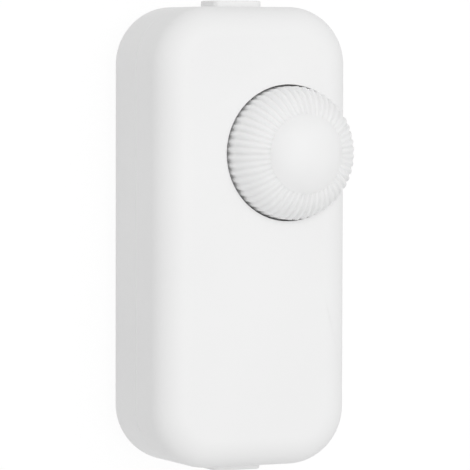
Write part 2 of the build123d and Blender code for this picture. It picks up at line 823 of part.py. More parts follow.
with BuildPart() as resistors:
    for x in resistor_x:
        add(axial_component(
            x, resistor_y, (0, 1, 0), resistor_length, resistor_radius, resistor_waist, resistor_pitch,
        ))

resistors.part.label = "resistors"
export_step(resistors.part, "parts/resistors.step")

with BuildPart() as diac:
    add(axial_component(
        diac_x, diac_y, (1, 0, 0), diac_length, diac_radius, diac_radius, diac_pitch,
    ))

diac.part.label = "diac"
export_step(diac.part, "parts/diac.step")

# Potentiometer: switch, track wafer, metal can and bushing stand on the board under the knob

knob_axis = [(knob_x, knob_y)]
through_axis = Plane((knob_x, knob_y, 0), x_dir=(1, 0, 0), z_dir=(0, -1, 0))

with BuildPart() as switch_module:
    standing(knob_axis, pot_radius, board_top, wafer_height)
    fillet(switch_module.edges().group_by(Axis.Z)[0], can_wall)
    leads(switch_leads, board_top + can_wall)

switch_module.part.label = "switch_module"
export_step(switch_module.part, "parts/switch_module.step")

with BuildPart() as potentiometer_wafer:
    standing(knob_axis, pot_radius, wafer_height, can_base)
    with BuildSketch(Plane((knob_x, knob_y, wafer_height))):
        Rectangle(
            2 * pot_tag_pitch + 2 * pot_tag_width, pot_radius + pot_tag_reach / 2,
            align=(Align.CENTER, Align.MAX),
        )
    extrude(amount=wafer_thickness)

potentiometer_wafer.part.label = "potentiometer_wafer"
export_step(potentiometer_wafer.part, "parts/potentiometer_wafer.step")

with BuildPart() as potentiometer_terminals:
    tag_root = knob_y - pot_radius - pot_tag_reach / 2
    with BuildSketch(Plane.XY.offset(can_base)):
        with Locations(*[(x, tag_root + pot_tag_width) for x, y in pot_tag_leads]):
            Rectangle(
                pot_tag_width, tag_root + pot_tag_width - pot_tag_y + pot_tag_thickness / 2,
                align=(Align.CENTER, Align.MAX),
            )
    extrude(amount=pot_tag_thickness)
    with BuildSketch(Plane.XY.offset(board_top)):
        with Locations(*pot_tag_leads):
            Rectangle(pot_tag_width, pot_tag_thickness)
    extrude(amount=can_base - board_top)
    leads(pot_tag_leads, board_top)

potentiometer_terminals.part.label = "potentiometer_terminals"
export_step(potentiometer_terminals.part, "parts/potentiometer_terminals.step")

with BuildPart() as resistive_track:
    with BuildSketch(Plane((knob_x, knob_y, can_base))):
        add(sector(track_inner, track_outer, 90, track_angle))
    extrude(amount=track_thickness)

resistive_track.part.label = "resistive_track"
export_step(resistive_track.part, "parts/resistive_track.step")

with BuildPart() as potentiometer_case:
    standing(knob_axis, pot_radius, can_base, can_top)
    fillet(potentiometer_case.edges().group_by(Axis.Z)[-1], can_wall)
    standing(knob_axis, pot_radius - can_wall, can_base, can_top - can_wall, Mode.SUBTRACT)
    standing(knob_axis, bushing_radius, can_top - can_wall, can_top, Mode.SUBTRACT)
    with BuildSketch(Plane((knob_x, knob_y, carrier_height))):
        add(sector(carrier_radius + lug_clearance, pot_radius - can_wall / 2, -90, stop_angle))
    extrude(amount=carrier_thickness)
    with BuildSketch(Plane((knob_x, knob_y, can_base))):
        with Locations((0, -pot_radius)):
            Rectangle(2 * pot_tag_pitch + 2 * pot_tag_width, 2 * pot_tag_width)
    extrude(amount=pot_tag_thickness + can_wall, mode=Mode.SUBTRACT)

potentiometer_case.part.label = "potentiometer_case"
export_step(potentiometer_case.part, "parts/potentiometer_case.step")

with BuildPart() as potentiometer_bushing:
    standing(knob_axis, bushing_radius, can_top - can_wall, bushing_top)
    chamfer(potentiometer_bushing.edges().group_by(Axis.Z)[-1], can_wall)
    standing(knob_axis, shaft_radius + shaft_fit, can_top - can_wall, bushing_top, Mode.SUBTRACT)

potentiometer_bushing.part.label = "potentiometer_bushing"
export_step(potentiometer_bushing.part, "parts/potentiometer_bushing.step")

# What turns: the shaft, the carrier with its stop lug, the wiper, the knob and the knob's clip

with BuildPart() as wiper_carrier:
    standing(knob_axis, carrier_radius, carrier_height, carrier_height + carrier_thickness)
    with BuildSketch(Plane((knob_x, knob_y, carrier_height))):
        add(sector(
            carrier_radius - lug_height, carrier_radius + lug_height, rest_angle, rotor_lug_angle,
        ))
    extrude(amount=carrier_thickness)
    standing(
        knob_axis, carrier_boss, carrier_height + carrier_thickness,
        can_top - can_wall - lug_clearance,
    )
    standing(
        knob_axis, shaft_radius, carrier_height, can_top - can_wall - lug_clearance, Mode.SUBTRACT,
    )

wiper_carrier.part.label = "wiper_carrier"
export_step(wiper_carrier.part, "parts/wiper_carrier.step")

with BuildPart() as wiper_contact:
    wiper_height = can_base + track_thickness + wiper_gap
    with BuildSketch(Plane((knob_x, knob_y, wiper_height))):
        with PolarLocations((track_inner + track_outer) / 2, 2, start_angle=90):
            Rectangle(track_outer - track_inner, wiper_width)
    extrude(amount=carrier_height - wiper_height)
    with BuildSketch(Plane((knob_x, knob_y, carrier_height - wiper_thickness))):
        Circle(track_outer)
        Circle(shaft_radius, mode=Mode.SUBTRACT)
    extrude(amount=wiper_thickness)

wiper_contact.part.label = "wiper_contact"
export_step(wiper_contact.part, "parts/wiper_contact.step")

with BuildPart() as potentiometer_shaft:
    shaft_foot = carrier_height - wiper_thickness
    standing(knob_axis, shaft_radius, shaft_foot, shaft_top)
    chamfer(potentiometer_shaft.edges().group_by(Axis.Z)[-1], shaft_flat / 3)
    with BuildSketch(Plane((knob_x, knob_y, hub_bottom))):
        with Locations((0, -shaft_flat)):
            Rectangle(2 * shaft_radius, shaft_radius, align=(Align.CENTER, Align.MAX))
    extrude(amount=shaft_engagement, mode=Mode.SUBTRACT)

potentiometer_shaft.part.label = "potentiometer_shaft"
export_step(potentiometer_shaft.part, "parts/potentiometer_shaft.step")


def groove_section(height, crest, depth):
    """The gap between two rounded ribs at one height, out to beyond their crests."""
    half_gap = pi * crest / rib_count * (1 - rib_land)
    beyond = crest + skirt_groove
    with BuildSketch(Plane.XY.offset(height)) as section:
        with BuildLine():
            for side in (-1, 1):
                ThreePointArc(
                    (crest, side * half_gap), (crest - depth / 4, side * half_gap / 2), (crest - depth, 0),
                )
                Line((crest, side * half_gap), (beyond, side * half_gap))
            Line((beyond, -half_gap), (beyond, half_gap))
        make_face()
    return section.sketch


def flank_section(share):
    """The same gap at a share of the way up the flank, where it grows shallower."""
    point = flank.line @ share
    steepness = abs((flank.line % share).Z)
    depth = (skirt_groove + (ring_groove - skirt_groove) * share) / steepness
    return groove_section(point.Z, point.X, depth)


# The flank is one arc, from the top of the upright skirt to the ring where the dome begins.
with BuildLine(Plane.XZ) as flank:
    SagittaArc((skirt_radius, shoulder_height), (ring_radius, ring_height), -flank_bulge)

# One gap between two ribs, standing at the origin's Z axis until it is set round the knob.
with BuildPart() as groove:
    extrude(
        groove_section(knob_bottom, skirt_radius, skirt_groove), amount=shoulder_height - knob_bottom
    )
    loft(sections=[flank_section(n / (flank_sections - 1)) for n in range(flank_sections)])

with BuildPart() as knob_hollow:
    inner_skirt = skirt_radius - skirt_groove - knob_wall
    inner_ring = ring_radius - knob_wall / 2
    with BuildSketch(through_axis):
        with BuildLine():
            Line((0, knob_bottom), (inner_skirt, knob_bottom))
            Line((inner_skirt, knob_bottom), (inner_skirt, shoulder_height))
            SagittaArc((inner_skirt, shoulder_height), (inner_ring, ring_height - knob_wall), -flank_bulge)
            Line((inner_ring, ring_height - knob_wall), (0, apex_height - dome_wall))
            Line((0, apex_height - dome_wall), (0, knob_bottom))
        make_face()
    revolve(axis=Axis((knob_x, knob_y, 0), (0, 0, 1)))
    standing(knob_axis, hub_radius, hub_bottom, apex_height, Mode.SUBTRACT)
    with BuildSketch(Plane((knob_x, knob_y, shaft_top - shaft_engagement / 2))):
        Rectangle(2 * skirt_radius, web_thickness)
        Rectangle(web_thickness, 2 * skirt_radius)
    extrude(amount=shaft_engagement, mode=Mode.SUBTRACT)

with BuildPart() as knob:
    with BuildSketch(through_axis):
        with BuildLine():
            Line((0, knob_bottom), (skirt_radius, knob_bottom))
            Line((skirt_radius, knob_bottom), (skirt_radius, shoulder_height))
            SagittaArc((skirt_radius, shoulder_height), (ring_radius, ring_height), -flank_bulge)
            Line((ring_radius, ring_height), (0, ring_height))
            Line((0, ring_height), (0, knob_bottom))
        make_face()
    revolve(axis=Axis((knob_x, knob_y, 0), (0, 0, 1)))
    with Locations((knob_x, knob_y)):
        with PolarLocations(0, rib_count):
            add(groove.part, mode=Mode.SUBTRACT)
    with BuildSketch(through_axis):
        with BuildLine():
            Line((0, shoulder_height), (ring_radius, shoulder_height))
            Line((ring_radius, shoulder_height), (ring_radius, ring_height))
            CenterArc((0, apex_height - dome_radius), dome_radius, 90 - dome_angle, dome_angle)
            Line((0, apex_height), (0, shoulder_height))
        make_face()
    revolve(axis=Axis((knob_x, knob_y, 0), (0, 0, 1)))
    add(knob_hollow.part, mode=Mode.SUBTRACT)
    with BuildSketch(Plane((knob_x, knob_y, hub_bottom))):
        Circle(shaft_radius + shaft_fit)
        with Locations((0, -shaft_flat - shaft_fit)):
            Rectangle(
                2 * hub_radius, hub_radius, align=(Align.CENTER, Align.MAX), mode=Mode.SUBTRACT,
            )
    extrude(amount=shaft_engagement + shaft_fit, mode=Mode.SUBTRACT)
    with BuildSketch(Plane((knob_x, knob_y, hub_bottom + clip_rise))):
        Circle(hub_radius)
        Circle(hub_radius - clip_groove_depth, mode=Mode.SUBTRACT)
    extrude(amount=clip_height, mode=Mode.SUBTRACT)

knob.part.label = "knob"
export_step(knob.part, "parts/knob.step")

with BuildPart() as knob_clip:
    clip_inner = hub_radius - clip_groove_depth
    with BuildSketch(Plane((knob_x, knob_y, hub_bottom + clip_rise))):
        Circle(clip_inner + clip_thickness)
        Circle(clip_inner, mode=Mode.SUBTRACT)
        Rectangle(
            2 * hub_radius, clip_opening, align=(Align.MIN, Align.CENTER), mode=Mode.SUBTRACT,
        )
    extrude(amount=clip_height)

knob_clip.part.label = "knob_clip"
export_step(knob_clip.part, "parts/knob_clip.step")
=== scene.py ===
from math import cos, pi, radians, sin

import bmesh
import bpy
import numpy as np
from bpy.props import FloatProperty, FloatVectorProperty, IntProperty, PointerProperty
from mathutils import Matrix, Vector


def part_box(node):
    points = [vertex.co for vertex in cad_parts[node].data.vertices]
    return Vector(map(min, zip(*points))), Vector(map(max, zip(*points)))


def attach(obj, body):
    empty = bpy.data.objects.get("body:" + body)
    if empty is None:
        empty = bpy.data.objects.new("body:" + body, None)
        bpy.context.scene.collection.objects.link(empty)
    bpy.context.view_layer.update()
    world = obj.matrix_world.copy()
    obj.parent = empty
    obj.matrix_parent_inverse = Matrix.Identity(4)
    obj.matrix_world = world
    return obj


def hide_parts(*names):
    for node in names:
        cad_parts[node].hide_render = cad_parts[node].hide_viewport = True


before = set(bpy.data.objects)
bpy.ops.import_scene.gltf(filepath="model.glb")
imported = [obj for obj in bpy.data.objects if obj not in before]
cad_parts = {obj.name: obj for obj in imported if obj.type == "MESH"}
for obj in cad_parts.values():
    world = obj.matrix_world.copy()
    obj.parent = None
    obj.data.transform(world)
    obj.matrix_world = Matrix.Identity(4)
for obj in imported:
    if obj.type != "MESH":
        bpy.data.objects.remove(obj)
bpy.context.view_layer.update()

bl_info = {
    "name": "Inline Rotary Dimmer",
    "version": (1, 0, 0),
    "blender": (4, 5, 0),
    "location": "3D View > Sidebar > Dimmer",
    "description": "Dresses a two-shell cord dimmer with its smooth surfaces, finishes and stage",
    "category": "Object",
}

MM = 0.001
SHELL_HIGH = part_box("front_shell")[1]
KNOB_LOW, KNOB_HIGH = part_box("knob")
KNOB_MIDDLE = (KNOB_LOW + KNOB_HIGH) / 2
RESISTOR_LOW, RESISTOR_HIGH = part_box("resistors")
COLLAR_REACH = 1.2 * MM

# Posts and saddles start at this height, inside the back's wall, so that no gap shows there
ROOT = 1.5 * MM


def far_corner(node, head_radius):
    """Where the last of a node's screws stands: its box's far corner, less the head's radius."""
    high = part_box(node)[1]
    return high.x - head_radius, high.y - head_radius


# The posts stand under the screws, and the board's two pins at its other end. The left pin stands
# beside the knob's axis, clear of the switch.
SCREW_CORNER = far_corner("housing_screws", head_radius=2.5 * MM)
CLAMP_CORNER = far_corner("cord_clamp_screws", head_radius=2.1 * MM)
BOARD_SCREW = far_corner("board_screws", head_radius=2.0 * MM)
BOARD_SCREWS = [(x * BOARD_SCREW[0], BOARD_SCREW[1]) for x in (-1, 1)]
PIN_BESIDE_KNOB = 5.9 * MM
BOARD_PINS = [(x, -BOARD_SCREW[1]) for x in (KNOB_MIDDLE.x - PIN_BESIDE_KNOB, BOARD_SCREW[0])]


def linear(colour):
    """Linear red, green, blue and alpha from an sRGB hex colour."""
    part = np.array([int(colour[n:n + 2], 16) for n in (0, 2, 4)]) / 255
    low, high = part / 12.92, ((part + 0.055) / 1.055) ** 2.4
    return (*np.where(part <= 0.04045, low, high).tolist(), 1.0)


class HousingSizes(bpy.types.PropertyGroup):
    length: FloatProperty(
        name="Length", description="From end to end, without the collars",
        default=2 * (SHELL_HIGH.y - COLLAR_REACH), unit="LENGTH")
    width: FloatProperty(
        name="Width", description="Across the face", default=2 * SHELL_HIGH.x, unit="LENGTH")
    depth: FloatProperty(
        name="Depth", description="From the flat back to the face",
        default=SHELL_HIGH.z, unit="LENGTH")
    corner: FloatProperty(
        name="Corner radius", description="Radius of the four corners, seen from the front",
        default=10.9 * MM, unit="LENGTH")
    front_rounding: FloatProperty(
        name="Front rounding", description="Radius between the face and the sides",
        default=5.6 * MM, unit="LENGTH")
    rear_rounding: FloatProperty(
        name="Rear rounding", description="Radius between the back and the sides",
        default=6.9 * MM, unit="LENGTH")
    wall: FloatProperty(
        name="Wall", description="Thickness of both shells", default=2.0 * MM, unit="LENGTH")
    parting: FloatProperty(
        name="Parting height", description="Height of the line where the shells meet",
        default=14.9 * MM, unit="LENGTH")
    seam: FloatProperty(
        name="Seam chamfer", description="Bevel on each shell's edge along the parting line",
        default=0.12 * MM, unit="LENGTH")
    bore: FloatProperty(
        name="Cord bore", description="Radius of the hole through each end",
        default=3.25 * MM, unit="LENGTH")
    well: FloatProperty(
        name="Well radius", description="Radius of the round opening that the knob turns in",
        default=12.75 * MM, unit="LENGTH")
    well_depth: FloatProperty(
        name="Well depth", description="From the face down to the well's floor",
        default=4.4 * MM, unit="LENGTH")
    well_edge: FloatProperty(
        name="Well edge", description="Rounding of the opening's edge",
        default=0.08 * MM, unit="LENGTH")


class KnobSizes(bpy.types.PropertyGroup):
    x: FloatProperty(
        name="Axis X", description="The knob's axis, right of the middle",
        default=KNOB_MIDDLE.x, unit="LENGTH")
    y: FloatProperty(
        name="Axis Y", description="The knob's axis, above the middle",
        default=KNOB_MIDDLE.y, unit="LENGTH")
    radius: FloatProperty(
        name="Skirt radius", description="Radius over the ribs at the skirt",
        default=12.45 * MM, unit="LENGTH")
    bottom: FloatProperty(
        name="Bottom", description="Height of the skirt's lower edge",
        default=KNOB_LOW.z, unit="LENGTH")
    shoulder: FloatProperty(
        name="Shoulder", description="Height where the skirt turns into the curved flank",
        default=29.8 * MM, unit="LENGTH")
    ring: FloatProperty(
        name="Ring height", description="Height of the ring where the ribs end at the dome",
        default=35.1 * MM, unit="LENGTH")
    ring_radius: FloatProperty(
        name="Ring radius", description="Radius of the smooth dome",
        default=7.4 * MM, unit="LENGTH")
    apex: FloatProperty(
        name="Apex", description="Height of the top of the dome",
        default=KNOB_HIGH.z, unit="LENGTH")
    bulge: FloatProperty(
        name="Flank bulge", description="How far the flank stands out from a straight cone",
        default=0.86 * MM, unit="LENGTH")
    ribs: IntProperty(
        name="Ribs", description="Number of finger ribs round the knob", default=52, min=12)
    skirt_groove: FloatProperty(
        name="Skirt groove", description="Depth of the gaps between the ribs at the skirt",
        default=0.3 * MM, unit="LENGTH")
    ring_groove: FloatProperty(
        name="Ring groove", description="Depth of the same gaps beside the dome",
        default=0.15 * MM, unit="LENGTH")


class Colours(bpy.types.PropertyGroup):
    housing: FloatVectorProperty(
        name="Housing", description="Colour of the two shells",
        default=linear("F0F0F0"), size=4, min=0, max=1, subtype="COLOR")
    knob: FloatVectorProperty(
        name="Knob", description="Colour of the knob",
        default=linear("F0F0F0"), size=4, min=0, max=1, subtype="COLOR")
    board: FloatVectorProperty(
        name="Board", description="Colour of the circuit board",
        default=linear("B58A52"), size=4, min=0, max=1, subtype="COLOR")
    capacitor: FloatVectorProperty(
        name="Capacitor", description="Colour of the interference capacitor's box",
        default=linear("D9B32C"), size=4, min=0, max=1, subtype="COLOR")
    floor: FloatVectorProperty(
        name="Floor", description="Colour of the floor under the dimmer",
        default=linear("E8E8E8"), size=4, min=0, max=1, subtype="COLOR")


class StageSettings(bpy.types.PropertyGroup):
    side_angle: FloatProperty(
        name="Side angle", description="How far the camera stands to the left of straight ahead",
        default=radians(25.01), subtype="ANGLE")
    top_angle: FloatProperty(
        name="Top angle", description="How far the camera stands towards the knob's end",
        default=radians(2.83), subtype="ANGLE")
    roll: FloatProperty(
        name="Roll", description="Turn of the camera about its own line of sight",
        default=radians(-0.13), subtype="ANGLE")
    distance: FloatProperty(
        name="Distance", description="From the camera to the middle of the housing",
        default=0.7007, unit="LENGTH")
    lens: FloatProperty(
        name="Lens", description="Focal length on a 36 mm sensor", default=283.56, unit="CAMERA")
    sky: FloatProperty(
        name="Sky light", description="Strength of the even light from all round", default=0.66)
    lamp: FloatProperty(
        name="Lamp", description="Power of the wide lamp over the dimmer",
        default=3.97, unit="POWER")


# Shapes. A sheet is an array of rows by columns by 3 coordinates, and its columns close in a ring.

def quarter_turn(steps):
    """The angles of a quarter circle in even steps."""
    return np.linspace(0, pi / 2, steps)


def outline(h):
    """The housing's outline as points and outward directions, clockwise from the middle of the top
    end. A quarter is worked out as a straight run, a quarter circle of the corner radius and a
    straight run, and the others are its mirror images. Points crowd at the cord bore's edges."""
    x, y = h.width / 2 - h.corner, h.length / 2 - h.corner
    across = np.concatenate((
        h.bore * np.sin(quarter_turn(steps=12)), np.linspace(h.bore, x, num=9)[1:]))
    turn = np.linspace(pi / 2, 0, num=27)[1:]
    down = np.linspace(y, 0, num=41)[1:]
    facing = np.concatenate((
        np.tile((0.0, 1.0), (len(across), 1)), np.stack((np.cos(turn), np.sin(turn)), 1),
        np.tile((1.0, 0.0), (len(down), 1))))
    core = np.concatenate((
        np.stack((across, np.full_like(across, y)), 1), np.tile((x, y), (len(turn), 1)),
        np.stack((np.full_like(down, x), down), 1)))
    return core + h.corner * facing, facing


def all_round(quarter):
    """A whole ring from the quarter that runs from the top's middle to the right side's middle."""
    back = quarter[::-1]
    return np.concatenate((
        quarter, back[1:] * (1, -1), quarter[1:] * (-1, -1), back[1:-1] * (-1, 1)))


def mirrors():
    """The four sign changes that carry a quarter to the whole."""
    return [(x, y, 1) for x in (-1, 1) for y in (-1, 1)]


def corners(place):
    """The four mirror images of one place round the middle."""
    return [(x * place[0], y * place[1]) for x, y, _ in mirrors()]


def inset_at(plan, h):
    """How far inside the outline each plan point lies, as a rounded rectangle's signed distance."""
    beyond = np.abs(plan) - (h.width / 2 - h.corner, h.length / 2 - h.corner)
    outside = np.hypot(*np.moveaxis(np.maximum(beyond, 0), -1, 0))
    return h.corner - outside - np.minimum(beyond.max(-1), 0)


def fall(inset, rounding, wall=0.0):
    """How far a rounded edge has fallen from the flat at an inset: radius - sqrt(radius squared -
    reach squared). With a wall, the same for the inner skin, whose arc has the same centre."""
    reach = np.clip(rounding - inset, 0, rounding - wall)
    return rounding - np.sqrt((rounding - wall) ** 2 - reach ** 2)


def directions(centre, points):
    """The unit direction and the distance from a centre to each point."""
    ray = points - centre
    length = np.hypot(*ray.T)
    return ray / length[:, None], length


def rays(centre, radius, border, facing, rounding, rows):
    """Plan points on straight rays from a circle out to a border. The outer half of the rows steps
    evenly round the arc of the edge's rounding, and the inner half grows by an even ratio."""
    least_slope, most_lap = 0.05, 0.6
    ray, length = directions(centre, border)
    gap = length - radius
    slope = np.clip((ray * facing).sum(1), least_slope, 1)
    lap = np.minimum(rounding / slope, most_lap * gap)
    share = np.linspace(1, 0, rows)[:, None]
    inner = lap * (gap / lap) ** (2 * share - 1)
    back = np.where(share > 0.5, inner, lap * (1 - np.cos(pi * np.minimum(share, 0.5))))
    return border - ray * back[..., None]


def raised(plan, height):
    """A sheet from plan points and their heights."""
    return np.concatenate((plan, np.broadcast_to(height, plan.shape[:-1])[..., None]), -1)


def girdle(points, facing, profile):
    """A profile of inset and height carried round the outline."""
    return np.stack([raised(points - inset * facing, height) for inset, height in profile])


def turned(x, y, profile, steps=48):
    """A profile of radius and height turned round an upright axis. It starts and ends on the axis,
    or else comes round to its first point."""
    angle = np.arange(steps) * 2 * pi / steps
    closing = [profile[0]] if profile[0][0] > 0 else []
    radius, height = np.array([*profile, *closing]).T[..., None]
    return np.stack((
        x + radius * np.cos(angle), y + radius * np.sin(angle), height + 0 * angle), -1)


def screw_post(x, y, radius, foot, end, pilot, pilot_end):
    """A round post from its foot to its end, with a blind hole for a screw in the end: its profile
    of radius and height, turned."""
    return turned(x, y, (
        (0, pilot_end), (pilot, pilot_end), (pilot, end), (radius, end), (radius, foot),
        (0, foot)))


def notch_height(points, h):
    """How far the round cord bore rises above the parting plane at each outline point."""
    at_end = np.abs(points[:, 1]) > h.length / 2 - h.corner
    inside = at_end & (np.abs(points[:, 0]) <= h.bore)
    return np.where(inside, np.sqrt(np.maximum(h.bore ** 2 - points[:, 0] ** 2, 0)), -1.0)


def collar(h, end, up):
    """Half of the low collar round the cord at one end, above or below the parting plane. Each
    station runs from the wall over the collar's rounded edge and its end face into the bore, and
    the stations follow half of a rounded rectangle."""
    half_width, half_height, corner, edge = 4.9 * MM, 3.9 * MM, 1.4 * MM, 0.4 * MM
    lip, sunk = 0.12 * MM, 0.1 * MM
    turn = quarter_turn(steps=9)
    upright = np.linspace(0, half_height - corner, num=6)[:-1]
    level = np.linspace(half_width - corner, 0, num=8)[1:]
    quarter = np.concatenate((
        np.stack((np.full_like(upright, half_width), upright), 1),
        np.stack((half_width - corner + corner * np.cos(turn),
                  half_height - corner + corner * np.sin(turn)), 1),
        np.stack((level, np.full_like(level, half_height)), 1)))
    outward = np.concatenate((
        np.tile((1.0, 0.0), (len(upright), 1)), np.stack((np.cos(turn), np.sin(turn)), 1),
        np.tile((0.0, 1.0), (len(level), 1))))
    path = np.concatenate((quarter, quarter[-2::-1] * (-1, 1)))
    facing = np.concatenate((outward, outward[-2::-1] * (-1, 1)))
    inner = path / np.hypot(*path.T)[:, None] * h.bore
    mouth = inner * (1 + lip / h.bore)
    root, face = h.length / 2 - sunk, h.length / 2 + COLLAR_REACH
    bend = quarter_turn(steps=7)[:, None, None]
    rim = path - edge * (1 - np.cos(bend)) * facing
    rim_reach = face - edge + edge * np.sin(bend[:, :, 0])
    loop = [(path, root), *zip(rim, rim_reach), (mouth, face), (inner, face - lip), (inner, root)]
    return np.stack([
        np.stack((place[:, 0], np.full(len(place), end) * reach,
                  h.parting + up * place[:, 1]), -1) for place, reach in loop], 1)


def front_shell(h, knob):
    """The front shell as one closed skin. Rays from the well's edge run over the face and its
    rounded edge to the outline, and the wall goes down to the parting line, round the lip and up
    inside. The well's wall and floor, the shaft's hole and the inner skin close it. The bosses for
    the screws and the upper halves of the collars are closed shapes on it."""
    quarter, quarter_facing = outline(h)
    points, facing = all_round(quarter), all_round(quarter_facing)
    centre = np.array((knob.x, knob.y))
    plate, foot, shaft_hole = 1.5 * MM, 0.3 * MM, 3.7 * MM
    floor = h.depth - h.well_depth
    below = floor - plate

    def face_height(plan):
        return h.depth - fall(inset_at(plan, h), h.front_rounding)

    face = rays(centre, h.well + h.well_edge, points, facing, h.front_rounding, rows=44)
    ray, _ = directions(centre, points)
    bend = quarter_turn(steps=7)
    edge = [centre + ray * (h.well + h.well_edge * (1 - sin(angle))) for angle in bend]
    well = [
        raised(plan, face_height(plan) - h.well_edge * (1 - cos(angle)))
        for plan, angle in zip(edge, bend)]
    well += [
        raised(centre + ray * (h.well - foot * (1 - cos(angle))), floor + foot * (1 - sin(angle)))
        for angle in bend]
    well += [raised(centre + ray * shaft_hole, height) for height in (floor, below)]

    # Where the well's wall reaches the shell's own, no ceiling is left between them
    border, rows = points - h.wall * facing, 24
    ray_inside, reach = directions(centre, border)
    blocked = reach <= h.well + plate
    sleeve = np.minimum(h.well + plate, reach)
    ceiling = np.tile(border, (rows, 1, 1))
    ceiling[:, ~blocked] = rays(
        centre, sleeve[~blocked], border[~blocked], facing[~blocked],
        h.front_rounding - h.wall, rows)
    ceiling_height = np.where(
        blocked, below, h.depth - fall(inset_at(ceiling, h), h.front_rounding, h.wall))
    inner = np.concatenate((
        raised(centre + ray * shaft_hole, below)[None],
        raised(centre + ray_inside * sleeve[:, None], below)[None],
        raised(ceiling, ceiling_height)))

    lip, lip_length = 0.9 * MM, 1.4 * MM
    side_top, lip_end = h.depth - h.front_rounding, h.parting - lip_length
    walls = girdle(points, facing, (
        (0, side_top), (0, h.parting + h.seam), (h.seam, h.parting), (h.wall - lip, h.parting),
        (h.wall - lip, lip_end), (h.wall, lip_end), (h.wall, side_top)))
    rise = h.parting + notch_height(points, h)
    bored = rise >= h.parting
    walls[1:-1, bored, 2] = np.maximum(walls[1:-1, bored, 2], rise[bored])
    walls[-1, :, 2] = ceiling_height[-1]

    # The boss under the well ends inside the well's floor, and the others inside the face
    sunk = 0.3 * MM
    bosses = [
        screw_post(
            x, y, radius=2.9 * MM, end=h.parting, pilot=1.2 * MM, pilot_end=22.6 * MM,
            foot=floor - sunk if x > 0 and y > 0 else h.depth - h.wall / 2)
        for x, y in corners(SCREW_CORNER)]
    collars = [collar(h, end, up=1) for end in (-1, 1)]
    return [raised(face, face_height(face)), np.stack(well), inner, walls, *bosses], collars


def rear_shell(h):
    """The rear shell. For each quarter of the flat back, rays run from a screw hole's edge to the
    quarter's border, outside and inside. The back's rounding and the wall go round the outline, up
    to the parting line and into the rebate. Posts, cord saddles and the lower halves of the
    collars are closed shapes on it."""
    quarter, quarter_facing = outline(h)
    points, facing = all_round(quarter), all_round(quarter_facing)
    centre, hole, edge = np.array(SCREW_CORNER), 2.7 * MM, 0.1 * MM
    flat = quarter - h.rear_rounding * quarter_facing
    across = np.linspace(flat[-1, 0], 0, num=9)[1:]
    along = np.linspace(0, flat[0, 1], num=24)[1:-1]
    border = np.concatenate((
        flat, np.stack((across, 0 * across), 1), np.stack((0 * along, along), 1)))
    ray, _ = directions(centre, border)
    share = (1 - np.cos(np.linspace(0, pi, num=12)[:, None, None])) / 2
    rim = centre + ray * (hole + edge)
    inner_rim = centre + ray * hole
    mouth = np.stack([
        raised(centre + ray * (hole + edge * (1 - sin(angle))), edge * (1 - cos(angle)))
        for angle in quarter_turn(steps=5)])
    back = np.concatenate((
        raised(border + (rim - border) * share, 0), mouth[1:],
        raised(inner_rim + (border - inner_rim) * share, h.wall)))
    sheets = [back * mirror for mirror in mirrors()]
    sheets += [
        girdle(points, facing, [
            (h.rear_rounding - radius * cos(angle), h.rear_rounding - radius * sin(angle))
            for angle in quarter_turn(steps=14)])
        for radius in (h.rear_rounding, h.rear_rounding - h.wall)]

    rebate, rebate_depth = 1.0 * MM, 1.5 * MM
    rebate_floor = h.parting - rebate_depth
    walls = girdle(points, facing, (
        (0, h.rear_rounding), (0, h.parting - h.seam), (h.seam, h.parting), (rebate, h.parting),
        (rebate, rebate_floor), (h.wall, rebate_floor), (h.wall, h.rear_rounding)))
    drop = h.parting - notch_height(points, h)
    bored = drop <= h.parting
    walls[1:-1, bored, 2] = np.minimum(walls[1:-1, bored, 2], drop[bored])
    sheets.append(walls)

    # A housing screw's head sits deep in its hollow post, and its shank goes through the rest
    post, head_seat, clearance, foot = 3.9 * MM, 9.0 * MM, 1.55 * MM, h.wall - 0.01 * MM
    sheets += [
        turned(x, y, (
            (hole, foot), (hole, head_seat), (clearance, head_seat), (clearance, h.parting),
            (post, h.parting), (post, foot)))
        for x, y in corners(SCREW_CORNER)]
    sheets += [
        screw_post(
            x, y, radius=2.4 * MM, foot=ROOT, end=17.7 * MM, pilot=0.95 * MM,
            pilot_end=11.7 * MM)
        for x, y in corners(CLAMP_CORNER)]

    board_seat, board_post = 5.0 * MM, 2.2 * MM
    pin, pin_end, pin_chamfer = 1.0 * MM, 7.4 * MM, 0.2 * MM
    sheets += [
        screw_post(
            x, y, radius=board_post, foot=ROOT, end=board_seat, pilot=0.85 * MM,
            pilot_end=2.4 * MM)
        for x, y in BOARD_SCREWS]
    sheets += [
        turned(x, y, (
            (0, pin_end), (pin - pin_chamfer, pin_end), (pin, pin_end - pin_chamfer),
            (pin, board_seat), (board_post, board_seat), (board_post, ROOT), (0, ROOT)))
        for x, y in BOARD_PINS]

    collars = [collar(h, end, up=-1) for end in (-1, 1)]
    plate_offset = 1.6 * MM
    saddles = [
        saddle(h, side * (CLAMP_CORNER[1] + plate * plate_offset))
        for side in (-1, 1) for plate in (-1, 1)]
    return sheets, [*collars, *saddles]


def saddle(h, y):
    """One plate of a cord saddle: its outline of width and height, with the cord's half round cut
    into its top, set at its two faces."""
    half_width, half_thickness, cord, drop = 4.3 * MM, 0.6 * MM, 3.1 * MM, 1.0 * MM
    top = h.parting - drop
    start = np.arccos(drop / cord)
    turn = np.linspace(start, -start, num=15)
    shape = np.concatenate((
        ((-half_width, top), (-half_width, ROOT), (half_width, ROOT), (half_width, top)),
        np.stack((cord * np.sin(turn), h.parting - cord * np.cos(turn)), 1)))
    return np.stack([
        np.stack((shape[:, 0], np.full(len(shape), y + side * half_thickness), shape[:, 1]), -1)
        for side in (-1, 1)])


